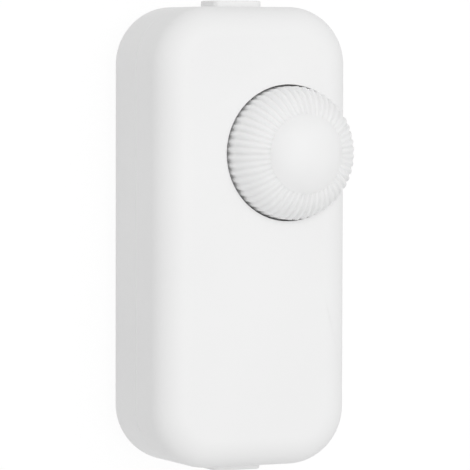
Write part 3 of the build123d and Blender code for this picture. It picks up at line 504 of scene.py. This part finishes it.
def knob_body(k):
    """The knob as one closed sheet of rings, from the top of the dome down the ribbed flank and
    skirt, and inside round the hub to the end of the shaft's bore. A gap between two ribs is as
    deep as its depth times the squared cosine of the way from its middle, along the normal."""
    steps, gap_share = 12, 0.88
    count = k.ribs * steps
    angle = np.arange(count) * 2 * pi / count
    away = np.abs((np.arange(count) / steps + 0.5) % 1 - 0.5) * 2
    valley = np.cos(pi / 2 * np.minimum(away / gap_share, 1)) ** 2

    rise = k.apex - k.ring
    dome_radius = (k.ring_radius ** 2 + rise ** 2) / (2 * rise)
    tilt = np.linspace(0, np.arcsin(k.ring_radius / dome_radius), num=18)
    dome = np.stack((dome_radius * np.sin(tilt), k.apex - dome_radius * (1 - np.cos(tilt))), 1)

    # The flank is an arc over the chord from the shoulder to the dome's ring
    low, high = np.array((k.radius, k.shoulder)), np.array((k.ring_radius, k.ring))
    chord = high - low
    half = np.hypot(*chord) / 2
    out = np.array((chord[1], -chord[0])) / (2 * half)
    arc_radius = (half ** 2 + k.bulge ** 2) / (2 * k.bulge)
    middle = (low + high) / 2 + out * (k.bulge - arc_radius)
    swing = np.arcsin(half / arc_radius) * np.linspace(1, -1, num=26)[:, None]
    normal = out * np.cos(swing) + chord / (2 * half) * np.sin(swing)
    flank = middle + arc_radius * normal
    depth = np.linspace(k.ring_groove, k.skirt_groove, len(flank))[:, None]
    flank_r = np.maximum(flank[:, :1] - normal[:, :1] * depth * valley, k.ring_radius)
    flank_z = flank[:, 1:] - normal[:, 1:] * depth * valley

    skirt_z = np.linspace(k.shoulder, k.bottom, num=6)[1:, None] + 0 * valley
    skirt_r = k.radius - k.skirt_groove * valley + 0 * skirt_z

    # Inside are the skirt, the roof, and the hub with its clip's groove and the shaft's flat
    wall, skirt_wall, roof_rise = 1.6 * MM, 1.98 * MM, 0.4 * MM
    hub, bore, bore_flat, bore_length = 4.8 * MM, 3.05 * MM, 1.55 * MM, 8.65 * MM
    setback, groove, groove_rise, groove_width = 0.5 * MM, 0.4 * MM, 1.6 * MM, 1.0 * MM
    inner, roof, hub_low = k.radius - skirt_wall, k.ring - wall, k.bottom + setback
    groove_low, groove_floor = hub_low + groove_rise, hub - groove
    groove_high = groove_low + groove_width
    least_sine = 0.1
    flat = np.minimum(bore, bore_flat / np.maximum(-np.sin(angle), least_sine))
    inner_r, inner_z = zip(
        (inner, k.bottom), (inner, k.shoulder), (k.ring_radius - wall / 2, roof),
        (hub, roof + roof_rise), (hub, groove_high), (groove_floor, groove_high),
        (groove_floor, groove_low), (hub, groove_low), (hub, hub_low), (flat, hub_low),
        (flat, hub_low + bore_length), (0, hub_low + bore_length))
    radius = np.concatenate((
        dome[:, :1] + 0 * valley, flank_r, skirt_r, [r + 0 * valley for r in inner_r]))
    height = np.concatenate((
        dome[:, 1:] + 0 * valley, flank_z, skirt_z, [z + 0 * valley for z in inner_z]))
    return np.stack((
        k.x + radius * np.cos(angle), k.y + radius * np.sin(angle), height), -1)


def web(k, angle):
    """One of the four plates between the knob's hub and its flank: its outline of radius and
    height, set at its two faces. It starts inside the hub and ends inside the wall."""
    near, knee, far = 4.5 * MM, 7.0 * MM, 10.9 * MM
    low, shoulder = k.bottom + 4.8 * MM, k.shoulder + 0.5 * MM
    knee_high, near_high = k.ring - 1.0 * MM, k.ring - 0.8 * MM
    half_thickness = 0.5 * MM
    shape = np.array((
        (near, low), (far, low), (far, shoulder), (knee, knee_high), (near, near_high)))
    along, across = np.array((cos(angle), sin(angle))), np.array((-sin(angle), cos(angle)))
    return np.stack([
        raised((k.x, k.y) + shape[:, :1] * along + side * half_thickness * across, shape[:, 1])
        for side in (-1, 1)])


def make_piece(name, material, sheets, capped, body, node):
    """One object from sheets of points, which rides on a body and stands for a CAD node. Points
    that two sheets share become one, a capped sheet gets a face at each end, faces point outwards,
    and the sharper edges stay sharp."""
    shared, sharp = 0.002 * MM, radians(30)
    points, faces, start = [], [], 0
    for n, sheet in enumerate((*sheets, *capped)):
        index = start + np.arange(sheet.shape[0] * sheet.shape[1]).reshape(sheet.shape[:2])
        beside = np.roll(index, -1, axis=1)
        cells = np.stack((index[:-1], index[1:], beside[1:], beside[:-1]), -1)
        faces += cells.reshape(-1, 4).tolist()
        if n >= len(sheets):
            faces += [index[0].tolist(), index[-1, ::-1].tolist()]
        points.append(sheet.reshape(-1, 3))
        start += index.size
    mesh = bpy.data.meshes.new(name)
    mesh.from_pydata(np.concatenate(points).tolist(), [], faces)
    work = bmesh.new()
    work.from_mesh(mesh)
    bmesh.ops.remove_doubles(work, verts=work.verts, dist=shared)
    bmesh.ops.recalc_face_normals(work, faces=work.faces)
    work.to_mesh(mesh)
    work.free()
    mesh.shade_smooth()
    mesh.set_sharp_from_angle(angle=sharp)
    mesh.materials.append(material)
    piece = bpy.data.objects.new(name, mesh)
    bpy.context.scene.collection.objects.link(piece)
    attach(piece, body)
    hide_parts(node)
    return piece


# Finishes. Sizes of patterns are real ones in metres, in object coordinates. A Mix node's colour
# sockets go by number, because their names repeat.

MIX_A, MIX_B, MIX_RESULT = 6, 7, 2


def add_node(tree, kind, inputs=None, **settings):
    """Adds a node with its settings, and gives its inputs their values or their links."""
    node = tree.nodes.new(kind)
    for name, value in settings.items():
        setattr(node, name, value)
    for name, value in (inputs or {}).items():
        if isinstance(value, bpy.types.NodeSocket):
            tree.links.new(value, node.inputs[name])
        else:
            node.inputs[name].default_value = value
    return node


def finish(name, colours, patch, grain, depth, roughness, stretch=(1, 1, 1), constants=None):
    """An opaque finish. Patches of one size drift between two colours and two roughnesses, and a
    finer relief of the grain's size and depth catches the light. The stretch draws the grain out
    along an axis, as rolling, drawing and brushing do. Constants go on the shader's sockets."""
    material = bpy.data.materials.new(name)
    material.use_nodes = True
    tree = material.node_tree
    shader = tree.nodes["Principled BSDF"]
    where = add_node(tree, "ShaderNodeTexCoord").outputs["Object"]
    patches = add_node(
        tree, "ShaderNodeTexNoise", {"Vector": where, "Scale": 1 / patch, "Detail": 3.0})
    spread = add_node(tree, "ShaderNodeMapRange", {
        "Value": patches.outputs[0], "From Min": 0.3, "From Max": 0.7})
    colour = add_node(tree, "ShaderNodeMix", {
        0: spread.outputs[0], MIX_A: colours[0], MIX_B: colours[1]}, data_type="RGBA")
    sheen = add_node(tree, "ShaderNodeMapRange", {
        "Value": spread.outputs[0], "To Min": roughness[0], "To Max": roughness[1]})
    along = add_node(tree, "ShaderNodeMapping", {"Vector": where, "Scale": stretch})
    relief = add_node(tree, "ShaderNodeTexNoise", {
        "Vector": along.outputs[0], "Scale": 1 / grain, "Detail": 4.0, "Roughness": 0.6})
    bump = add_node(tree, "ShaderNodeBump", {"Height": relief.outputs[0], "Distance": depth})
    tree.links.new(colour.outputs[MIX_RESULT], shader.inputs["Base Color"])
    tree.links.new(sheen.outputs[0], shader.inputs["Roughness"])
    tree.links.new(bump.outputs[0], shader.inputs["Normal"])
    for socket, value in (constants or {}).items():
        shader.inputs[socket].default_value = value
    return material


def shaded(colour, amount):
    """The same colour with its light cut by a share."""
    return (*(part * (1 - amount) for part in colour[:3]), 1.0)


# Constants that several finishes share, and the stretch of a grain that is drawn or rolled
METAL = {"Metallic": 1.0}
WHITE_ABS = {"IOR": 1.46, "Specular IOR Level": 0.3}
DRAWN = (1, 0.08, 1)


def housing_abs():
    """Injection-moulded ABS from a finely spark-eroded mould: an even satin white with slight
    drift of the pigment and no sharp highlight. Its pits, 0.05 mm in the mould, are drawn 0.35 mm
    wide so that they show at all."""
    base = tuple(bpy.context.scene.dimmer_colours.housing)
    return finish(
        "abs_moulded_satin", (base, shaded(base, 0.015)), patch=22 * MM, grain=0.35 * MM,
        depth=0.004 * MM, roughness=(0.46, 0.54), constants=WHITE_ABS)


def knob_abs():
    """The same ABS from a smoother, hand-polished mould, so the dome is a little glossier and the
    ribs' crests catch a soft line of light. Light scatters under its surface and softens the
    gaps between the ribs. The mould's faint waves are drawn 0.5 mm wide so that they show."""
    base = tuple(bpy.context.scene.dimmer_colours.knob)
    return finish(
        "abs_moulded_polished", (base, shaded(base, 0.012)), patch=9 * MM, grain=0.5 * MM,
        depth=0.002 * MM, roughness=(0.36, 0.44), constants={
            **WHITE_ABS, "Subsurface Weight": 1.0, "Subsurface Scale": 1.8 * MM,
            "Subsurface Radius": (1.0, 1.0, 1.0)})


def zinc_steel():
    """Zinc-plated, clear-passivated steel: bright bluish grey with faint cloudy blotches."""
    return finish(
        "steel_zinc_plated", (linear("C3C8CC"), linear("A3ABB3")), patch=1.5 * MM,
        grain=0.15 * MM, depth=0.003 * MM, roughness=(0.26, 0.42), constants=METAL)


def spring_steel():
    """Hard-drawn spring steel wire, oiled: grey with drawing lines along it."""
    return finish(
        "steel_spring_drawn", (linear("8E9093"), linear("737679")), patch=2 * MM,
        grain=0.1 * MM, depth=0.002 * MM, roughness=(0.25, 0.36), stretch=DRAWN, constants=METAL)


def clamp_nylon():
    """Moulded natural nylon: creamy and slightly see-through, so light softens its edges."""
    return finish(
        "nylon_moulded_natural", (linear("E6E0CF"), linear("DCD4BF")), patch=5 * MM,
        grain=0.3 * MM, depth=0.006 * MM, roughness=(0.42, 0.52), constants={
            "IOR": 1.53, "Subsurface Weight": 0.15, "Subsurface Scale": 1 * MM})


def phenolic_board():
    """Punched phenolic paper laminate: tan, with darker paper fibres running one way."""
    base = tuple(bpy.context.scene.dimmer_colours.board)
    return finish(
        "laminate_phenolic_paper", (base, shaded(base, 0.22)), patch=3 * MM, grain=0.25 * MM,
        depth=0.006 * MM, roughness=(0.42, 0.55), stretch=(1, 0.15, 1), constants={"IOR": 1.55})


def terminal_nylon():
    """Moulded flame-retardant nylon: grey white and duller than the housing."""
    return finish(
        "nylon_moulded_grey", (linear("D7D8D3"), linear("CACBC6")), patch=4 * MM,
        grain=0.25 * MM, depth=0.008 * MM, roughness=(0.5, 0.6), constants={"IOR": 1.53})


def cage_brass():
    """Extruded brass, sawn and deburred: warm yellow with fine saw lines."""
    return finish(
        "brass_extruded_sawn", (linear("D9B25F"), linear("BE9446")), patch=1.2 * MM,
        grain=0.12 * MM, depth=0.006 * MM, roughness=(0.24, 0.38), stretch=(1, 1, 0.1),
        constants=METAL)


def fuse_glass():
    """Drawn soda-lime glass tube: clear, with a faint waviness of the drawn wall."""
    return finish(
        "glass_drawn_soda_lime", (linear("F6FAF8"), linear("EEF5F1")), patch=4 * MM,
        grain=1.5 * MM, depth=0.004 * MM, roughness=(0.02, 0.06), stretch=DRAWN,
        constants={"IOR": 1.52, "Transmission Weight": 1.0})


def nickel_brass():
    """Nickel-plated pressed brass: warm silver with soft press marks."""
    return finish(
        "brass_nickel_plated", (linear("D6D0C2"), linear("C0B9AA")), patch=1.6 * MM,
        grain=0.2 * MM, depth=0.003 * MM, roughness=(0.16, 0.28), constants=METAL)


def capacitor_box():
    """Moulded polyester box of a film capacitor: yellow, glossy, with slight sink over its fill."""
    base = tuple(bpy.context.scene.dimmer_colours.capacitor)
    return finish(
        "polyester_moulded_box", (base, shaded(base, 0.08)), patch=6 * MM, grain=2.5 * MM,
        depth=0.04 * MM, roughness=(0.26, 0.36), constants={"IOR": 1.56})


def film_capacitor():
    """Dip-coated epoxy over a wound film capacitor: brick red and wet-looking, gently uneven."""
    return finish(
        "epoxy_dipped_red", (linear("9A3B2B"), linear("852E21")), patch=2.5 * MM,
        grain=1.4 * MM, depth=0.05 * MM, roughness=(0.14, 0.26), constants={"IOR": 1.55})


def ferrite():
    """Sintered and tumbled ferrite: near black and matt, with fine pores."""
    return finish(
        "ferrite_sintered", (linear("3A3A3C"), linear("2B2B2D")), patch=1 * MM,
        grain=0.12 * MM, depth=0.02 * MM, roughness=(0.5, 0.7), constants={"IOR": 2.0})


def copper_winding():
    """Enamelled copper wire, layer wound. The wave draws the turns of wire lying side by side, and
    a thin coat is the clear enamel."""
    material = finish(
        "copper_wire_enamelled", (linear("B5652F"), linear("96501F")), patch=1.5 * MM,
        grain=0.3 * MM, depth=0.01 * MM, roughness=(0.2, 0.32), constants={
            "Metallic": 1.0, "Coat Weight": 0.6, "Coat Roughness": 0.12})
    tree = material.node_tree
    where = add_node(tree, "ShaderNodeTexCoord").outputs["Object"]
    # A wave node goes through 10 waves in pi metres at a scale of 1
    wire = 0.5 * MM
    turns = add_node(
        tree, "ShaderNodeTexWave", {"Vector": where, "Scale": pi / (10 * wire)},
        bands_direction="Z")
    wound = add_node(
        tree, "ShaderNodeBump", {"Height": turns.outputs["Fac"], "Distance": wire / 2})
    shader = tree.nodes["Principled BSDF"]
    tree.links.new(shader.inputs["Normal"].links[0].from_socket, wound.inputs["Normal"])
    tree.links.new(wound.outputs[0], shader.inputs["Normal"])
    return material


def aluminium():
    """Rolled and sheared aluminium: pale grey, with rolling lines along the sheet."""
    return finish(
        "aluminium_rolled", (linear("D3D5D8"), linear("C2C5C9")), patch=4 * MM,
        grain=0.15 * MM, depth=0.004 * MM, roughness=(0.28, 0.4), stretch=DRAWN, constants=METAL)


def epoxy_black():
    """Transfer-moulded epoxy of a power package: charcoal and matt, with a sandy grain."""
    return finish(
        "epoxy_transfer_moulded", (linear("2C2D2F"), linear("222325")), patch=1.5 * MM,
        grain=0.12 * MM, depth=0.015 * MM, roughness=(0.5, 0.62), constants={"IOR": 1.57})


def tinned_copper():
    """Hot-tinned copper: soft silver, with the ripples of solder that has run."""
    return finish(
        "copper_hot_tinned", (linear("CDD0D1"), linear("B6BABC")), patch=1.2 * MM,
        grain=0.5 * MM, depth=0.02 * MM, roughness=(0.22, 0.38), constants=METAL)


def resistor_lacquer():
    """Sprayed lacquer on a film resistor: sand-coloured, with four printed value rings."""
    material = finish(
        "lacquer_sprayed_sand", (linear("D8BE93"), linear("CDB184")), patch=1.5 * MM,
        grain=0.6 * MM, depth=0.02 * MM, roughness=(0.3, 0.42), constants={"IOR": 1.5})
    tree = material.node_tree
    where = add_node(tree, "ShaderNodeTexCoord").outputs["Object"]
    along = add_node(tree, "ShaderNodeSeparateXYZ", {"Vector": where})
    middle, half_body = (RESISTOR_LOW.y + RESISTOR_HIGH.y) / 2, 3.15 * MM
    share = add_node(tree, "ShaderNodeMapRange", {
        "Value": along.outputs["Y"], "From Min": middle - half_body,
        "From Max": middle + half_body})
    rings = add_node(tree, "ShaderNodeValToRGB", {"Fac": share.outputs[0]})
    # Each ring's colour, and where it starts as a share of the body's length. Black is no ring.
    plain, width, least = linear("000000"), 0.08, 0.001
    marks = (("5B3418", 0.1), ("17130F", 0.3), ("D07A21", 0.48), ("B08A3C", 0.84))
    ramp = rings.color_ramp
    ramp.interpolation = "CONSTANT"
    ramp.elements[0].color = plain
    stops = [
        stop for colour, place in marks
        for stop in ((place, linear(colour)), (place + width, plain))]
    ramp.elements[1].position, ramp.elements[1].color = stops[0]
    for place, colour in stops[1:]:
        ramp.elements.new(place).color = colour
    shown = add_node(
        tree, "ShaderNodeMath", {0: rings.outputs["Color"], 1: least}, operation="GREATER_THAN")
    shader = tree.nodes["Principled BSDF"]
    body = shader.inputs["Base Color"].links[0].from_socket
    painted = add_node(tree, "ShaderNodeMix", {
        0: shown.outputs[0], MIX_A: body, MIX_B: rings.outputs["Color"]}, data_type="RGBA")
    tree.links.new(painted.outputs[MIX_RESULT], shader.inputs["Base Color"])
    return material


def diac_glass():
    """Sealed glass body of a diode: orange red and half clear, with its bubbles faintly felt."""
    return finish(
        "glass_sealed_amber", (linear("B8532A"), linear("9C3F1E")), patch=1 * MM,
        grain=0.4 * MM, depth=0.01 * MM, roughness=(0.06, 0.14),
        constants={"IOR": 1.52, "Transmission Weight": 0.35})


def phenolic():
    """Pressed phenolic paper: dark brown, with short fibres in its surface."""
    return finish(
        "phenolic_pressed_paper", (linear("6B4526"), linear("553419")), patch=1.8 * MM,
        grain=0.15 * MM, depth=0.015 * MM, roughness=(0.48, 0.6), stretch=(1, 0.3, 1),
        constants={"IOR": 1.58})


def switch_polyester():
    """Moulded glass-filled polyester: black, with the swirl that glass fibres leave."""
    return finish(
        "polyester_glass_filled", (linear("2A2B2C"), linear("38393A")), patch=2 * MM,
        grain=0.2 * MM, depth=0.01 * MM, roughness=(0.42, 0.56), stretch=(1, 0.4, 1),
        constants={"IOR": 1.58})


def carbon_track():
    """Screen-printed carbon ink, baked: soft black with the dots of the screen just felt."""
    return finish(
        "carbon_screen_printed", (linear("242424"), linear("1A1A1A")), patch=1.2 * MM,
        grain=0.1 * MM, depth=0.006 * MM, roughness=(0.62, 0.74), constants={"IOR": 1.6})


def wiper_bronze():
    """Stamped phosphor bronze spring strip: reddish, with rolling lines."""
    return finish(
        "bronze_stamped", (linear("C98F5B"), linear("B27B4A")), patch=1.4 * MM,
        grain=0.1 * MM, depth=0.004 * MM, roughness=(0.22, 0.34), stretch=DRAWN, constants=METAL)


# Each material slot of the CAD's nodes, and the finish that it gets
FINISHES = {
    "housing_plastic": housing_abs, "knob_plastic": knob_abs, "zinc_steel": zinc_steel,
    "spring_steel": spring_steel, "clamp_plastic": clamp_nylon, "board_laminate": phenolic_board,
    "terminal_plastic": terminal_nylon, "cage_brass": cage_brass, "fuse_glass": fuse_glass,
    "nickel_brass": nickel_brass, "capacitor_case": capacitor_box,
    "film_capacitor": film_capacitor, "ferrite": ferrite, "enamelled_copper": copper_winding,
    "aluminium": aluminium, "epoxy_black": epoxy_black, "tinned_copper": tinned_copper,
    "resistor_lacquer": resistor_lacquer, "diac_glass": diac_glass, "phenolic": phenolic,
    "switch_plastic": switch_polyester, "carbon_track": carbon_track,
    "wiper_bronze": wiper_bronze,
}


def plainly_seen(tree):
    """1 for what shows the background: the camera's rays, and those of gloss and of glass."""
    path = add_node(tree, "ShaderNodeLightPath")
    bright = path.outputs["Is Camera Ray"]
    for kind in ("Is Glossy Ray", "Is Transmission Ray"):
        bright = add_node(
            tree, "ShaderNodeMath", {0: bright, 1: path.outputs[kind]},
            operation="MAXIMUM").outputs[0]
    return bright


# Operators, in the order in which the panel lists them

class DIMMER_OT_stage(bpy.types.Operator):
    """Set the floor, the even light, the lamp and the camera"""
    bl_idname = "dimmer.stage"
    bl_label = "Stage"

    def execute(self, context):
        scene = context.scene
        stage, housing = scene.dimmer_stage, scene.dimmer_housing
        scene.view_settings.view_transform = "Standard"
        self.floor(scene)
        self.sky(scene, stage)
        self.lamp(scene, stage)
        self.camera(scene, stage, housing)
        return {"FINISHED"}

    def floor(self, scene):
        """A painted sheet of board, a hair under the flat back. A share of what the camera sees of
        it is plain white, and the rest is the lit board with the dimmer's shadow."""
        plain_share, plain_strength, reach, gap = 0.9, 1.03, 3.0, 0.05 * MM
        material = bpy.data.materials.new("board_painted_white")
        material.use_nodes = True
        tree = material.node_tree
        shader = tree.nodes["Principled BSDF"]
        shader.inputs["Base Color"].default_value = scene.dimmer_colours.floor
        shader.inputs["Roughness"].default_value = 0.9
        share = add_node(
            tree, "ShaderNodeMath", {0: plainly_seen(tree), 1: plain_share},
            operation="MULTIPLY")
        white = add_node(tree, "ShaderNodeEmission", {"Strength": plain_strength})
        mixed = add_node(tree, "ShaderNodeMixShader", {
            0: share.outputs[0], 1: shader.outputs[0], 2: white.outputs[0]})
        tree.links.new(mixed.outputs[0], tree.nodes["Material Output"].inputs["Surface"])
        mesh = bpy.data.meshes.new("floor")
        mesh.from_pydata(
            [(x * reach, y * reach, -gap) for x, y in ((-1, -1), (1, -1), (1, 1), (-1, 1))],
            [], [(0, 1, 2, 3)])
        mesh.materials.append(material)
        floor = bpy.data.objects.new("floor", mesh)
        scene.collection.objects.link(floor)

    def sky(self, scene, stage):
        """An even white sky, which the camera and clear or shiny things see as plain white."""
        world = bpy.data.worlds.new("sky")
        world.use_nodes = True
        tree = world.node_tree
        background = tree.nodes["Background"]
        strength = add_node(tree, "ShaderNodeMapRange", {
            "Value": plainly_seen(tree), "To Min": stage.sky, "To Max": 1.0})
        tree.links.new(strength.outputs[0], background.inputs["Strength"])
        background.inputs["Color"].default_value = linear("FFFFFF")
        scene.world = world

    def lamp(self, scene, stage):
        """A wide soft lamp above the dimmer, a little towards the knob's end."""
        place = Vector((-0.04, 0.16, 1.0))
        light = bpy.data.lights.new("wide_lamp", "AREA")
        light.shape, light.size, light.energy = "DISK", 0.9, stage.lamp
        lamp = bpy.data.objects.new("wide_lamp", light)
        scene.collection.objects.link(lamp)
        lamp.location = place
        lamp.rotation_euler = (-place).to_track_quat("-Z", "Y").to_euler()

    def camera(self, scene, stage, housing):
        """The photograph's own viewpoint. The line of sight passes beside the middle by the small
        offset that sets the dimmer a little left of the picture's centre."""
        aside, below = 1.357 * MM, 0.042 * MM
        side, top = stage.side_angle, stage.top_angle
        back = Vector((-sin(side) * cos(top), sin(top), cos(side) * cos(top)))
        right = Vector((cos(side), 0, sin(side)))
        up = back.cross(right)
        level = cos(stage.roll) * right - sin(stage.roll) * up
        rise = sin(stage.roll) * right + cos(stage.roll) * up
        camera = bpy.data.objects.new("camera", bpy.data.cameras.new("camera"))
        scene.collection.objects.link(camera)
        camera.data.sensor_width, camera.data.lens = 36.0, stage.lens
        camera.data.clip_start, camera.data.clip_end = 0.01, 10.0
        middle = Vector((0, 0, housing.depth / 2))
        place = middle + back * stage.distance + level * aside - rise * below
        turn = Matrix((level, rise, back)).transposed().to_4x4()
        camera.matrix_world = Matrix.Translation(place) @ turn
        scene.camera = camera


class DIMMER_OT_front_shell(bpy.types.Operator):
    """Build the front shell's face, well and rounded sides"""
    bl_idname = "dimmer.front_shell"
    bl_label = "Front Shell"

    def execute(self, context):
        scene = context.scene
        sheets, capped = front_shell(scene.dimmer_housing, scene.dimmer_knob)
        make_piece(
            "front_shell_surface", housing_abs(), sheets, capped,
            "housing", "front_shell")
        return {"FINISHED"}


class DIMMER_OT_rear_shell(bpy.types.Operator):
    """Build the rear shell with its screw holes, posts and cord saddles"""
    bl_idname = "dimmer.rear_shell"
    bl_label = "Rear Shell"

    def execute(self, context):
        scene = context.scene
        sheets, capped = rear_shell(scene.dimmer_housing)
        make_piece(
            "rear_shell_surface", housing_abs(), sheets, capped,
            "housing", "rear_shell")
        return {"FINISHED"}


class DIMMER_OT_knob(bpy.types.Operator):
    """Build the ribbed knob with its smooth dome"""
    bl_idname = "dimmer.knob"
    bl_label = "Knob"

    def execute(self, context):
        scene = context.scene
        knob = scene.dimmer_knob
        make_piece(
            "knob_surface", knob_abs(), [knob_body(knob)],
            [web(knob, quarter * pi / 2) for quarter in range(4)],
            "rotor", "knob")
        return {"FINISHED"}


class DIMMER_OT_fittings(bpy.types.Operator):
    """Give every screw, clamp and part of the circuit its finish"""
    bl_idname = "dimmer.fittings"
    bl_label = "Fittings and Circuit"

    def execute(self, context):
        made = {}
        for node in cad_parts.values():
            for place in node.material_slots:
                slot = place.material.name
                if slot not in made:
                    made[slot] = FINISHES[slot]()
                place.material = made[slot]
        return {"FINISHED"}


class DIMMER_PT_panel(bpy.types.Panel):
    """Sizes, colours and operators of the dimmer"""
    bl_label = "Inline Dimmer"
    bl_idname = "DIMMER_PT_panel"
    bl_space_type = "VIEW_3D"
    bl_region_type = "UI"
    bl_category = "Dimmer"

    def draw(self, context):
        for name, group in GROUPS:
            box = self.layout.box()
            for key in group.__annotations__:
                box.prop(getattr(context.scene, name), key)
        for operator in OPERATORS:
            self.layout.operator(operator.bl_idname)


GROUPS = (
    ("dimmer_housing", HousingSizes), ("dimmer_knob", KnobSizes),
    ("dimmer_colours", Colours), ("dimmer_stage", StageSettings),
)
OPERATORS = (
    DIMMER_OT_stage, DIMMER_OT_front_shell, DIMMER_OT_rear_shell, DIMMER_OT_knob,
    DIMMER_OT_fittings,
)


def register():
    for name, group in GROUPS:
        bpy.utils.register_class(group)
        setattr(bpy.types.Scene, name, PointerProperty(type=group))
    for item in (*OPERATORS, DIMMER_PT_panel):
        bpy.utils.register_class(item)


def unregister():
    for item in reversed((*OPERATORS, DIMMER_PT_panel)):
        bpy.utils.unregister_class(item)
    for name, group in reversed(GROUPS):
        delattr(bpy.types.Scene, name)
        bpy.utils.unregister_class(group)


def main():
    """Registers the classes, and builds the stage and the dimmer."""
    register()
    bpy.ops.dimmer.stage()
    bpy.ops.dimmer.front_shell()
    bpy.ops.dimmer.rear_shell()
    bpy.ops.dimmer.knob()
    bpy.ops.dimmer.fittings()


if __name__ == "__main__":
    main()
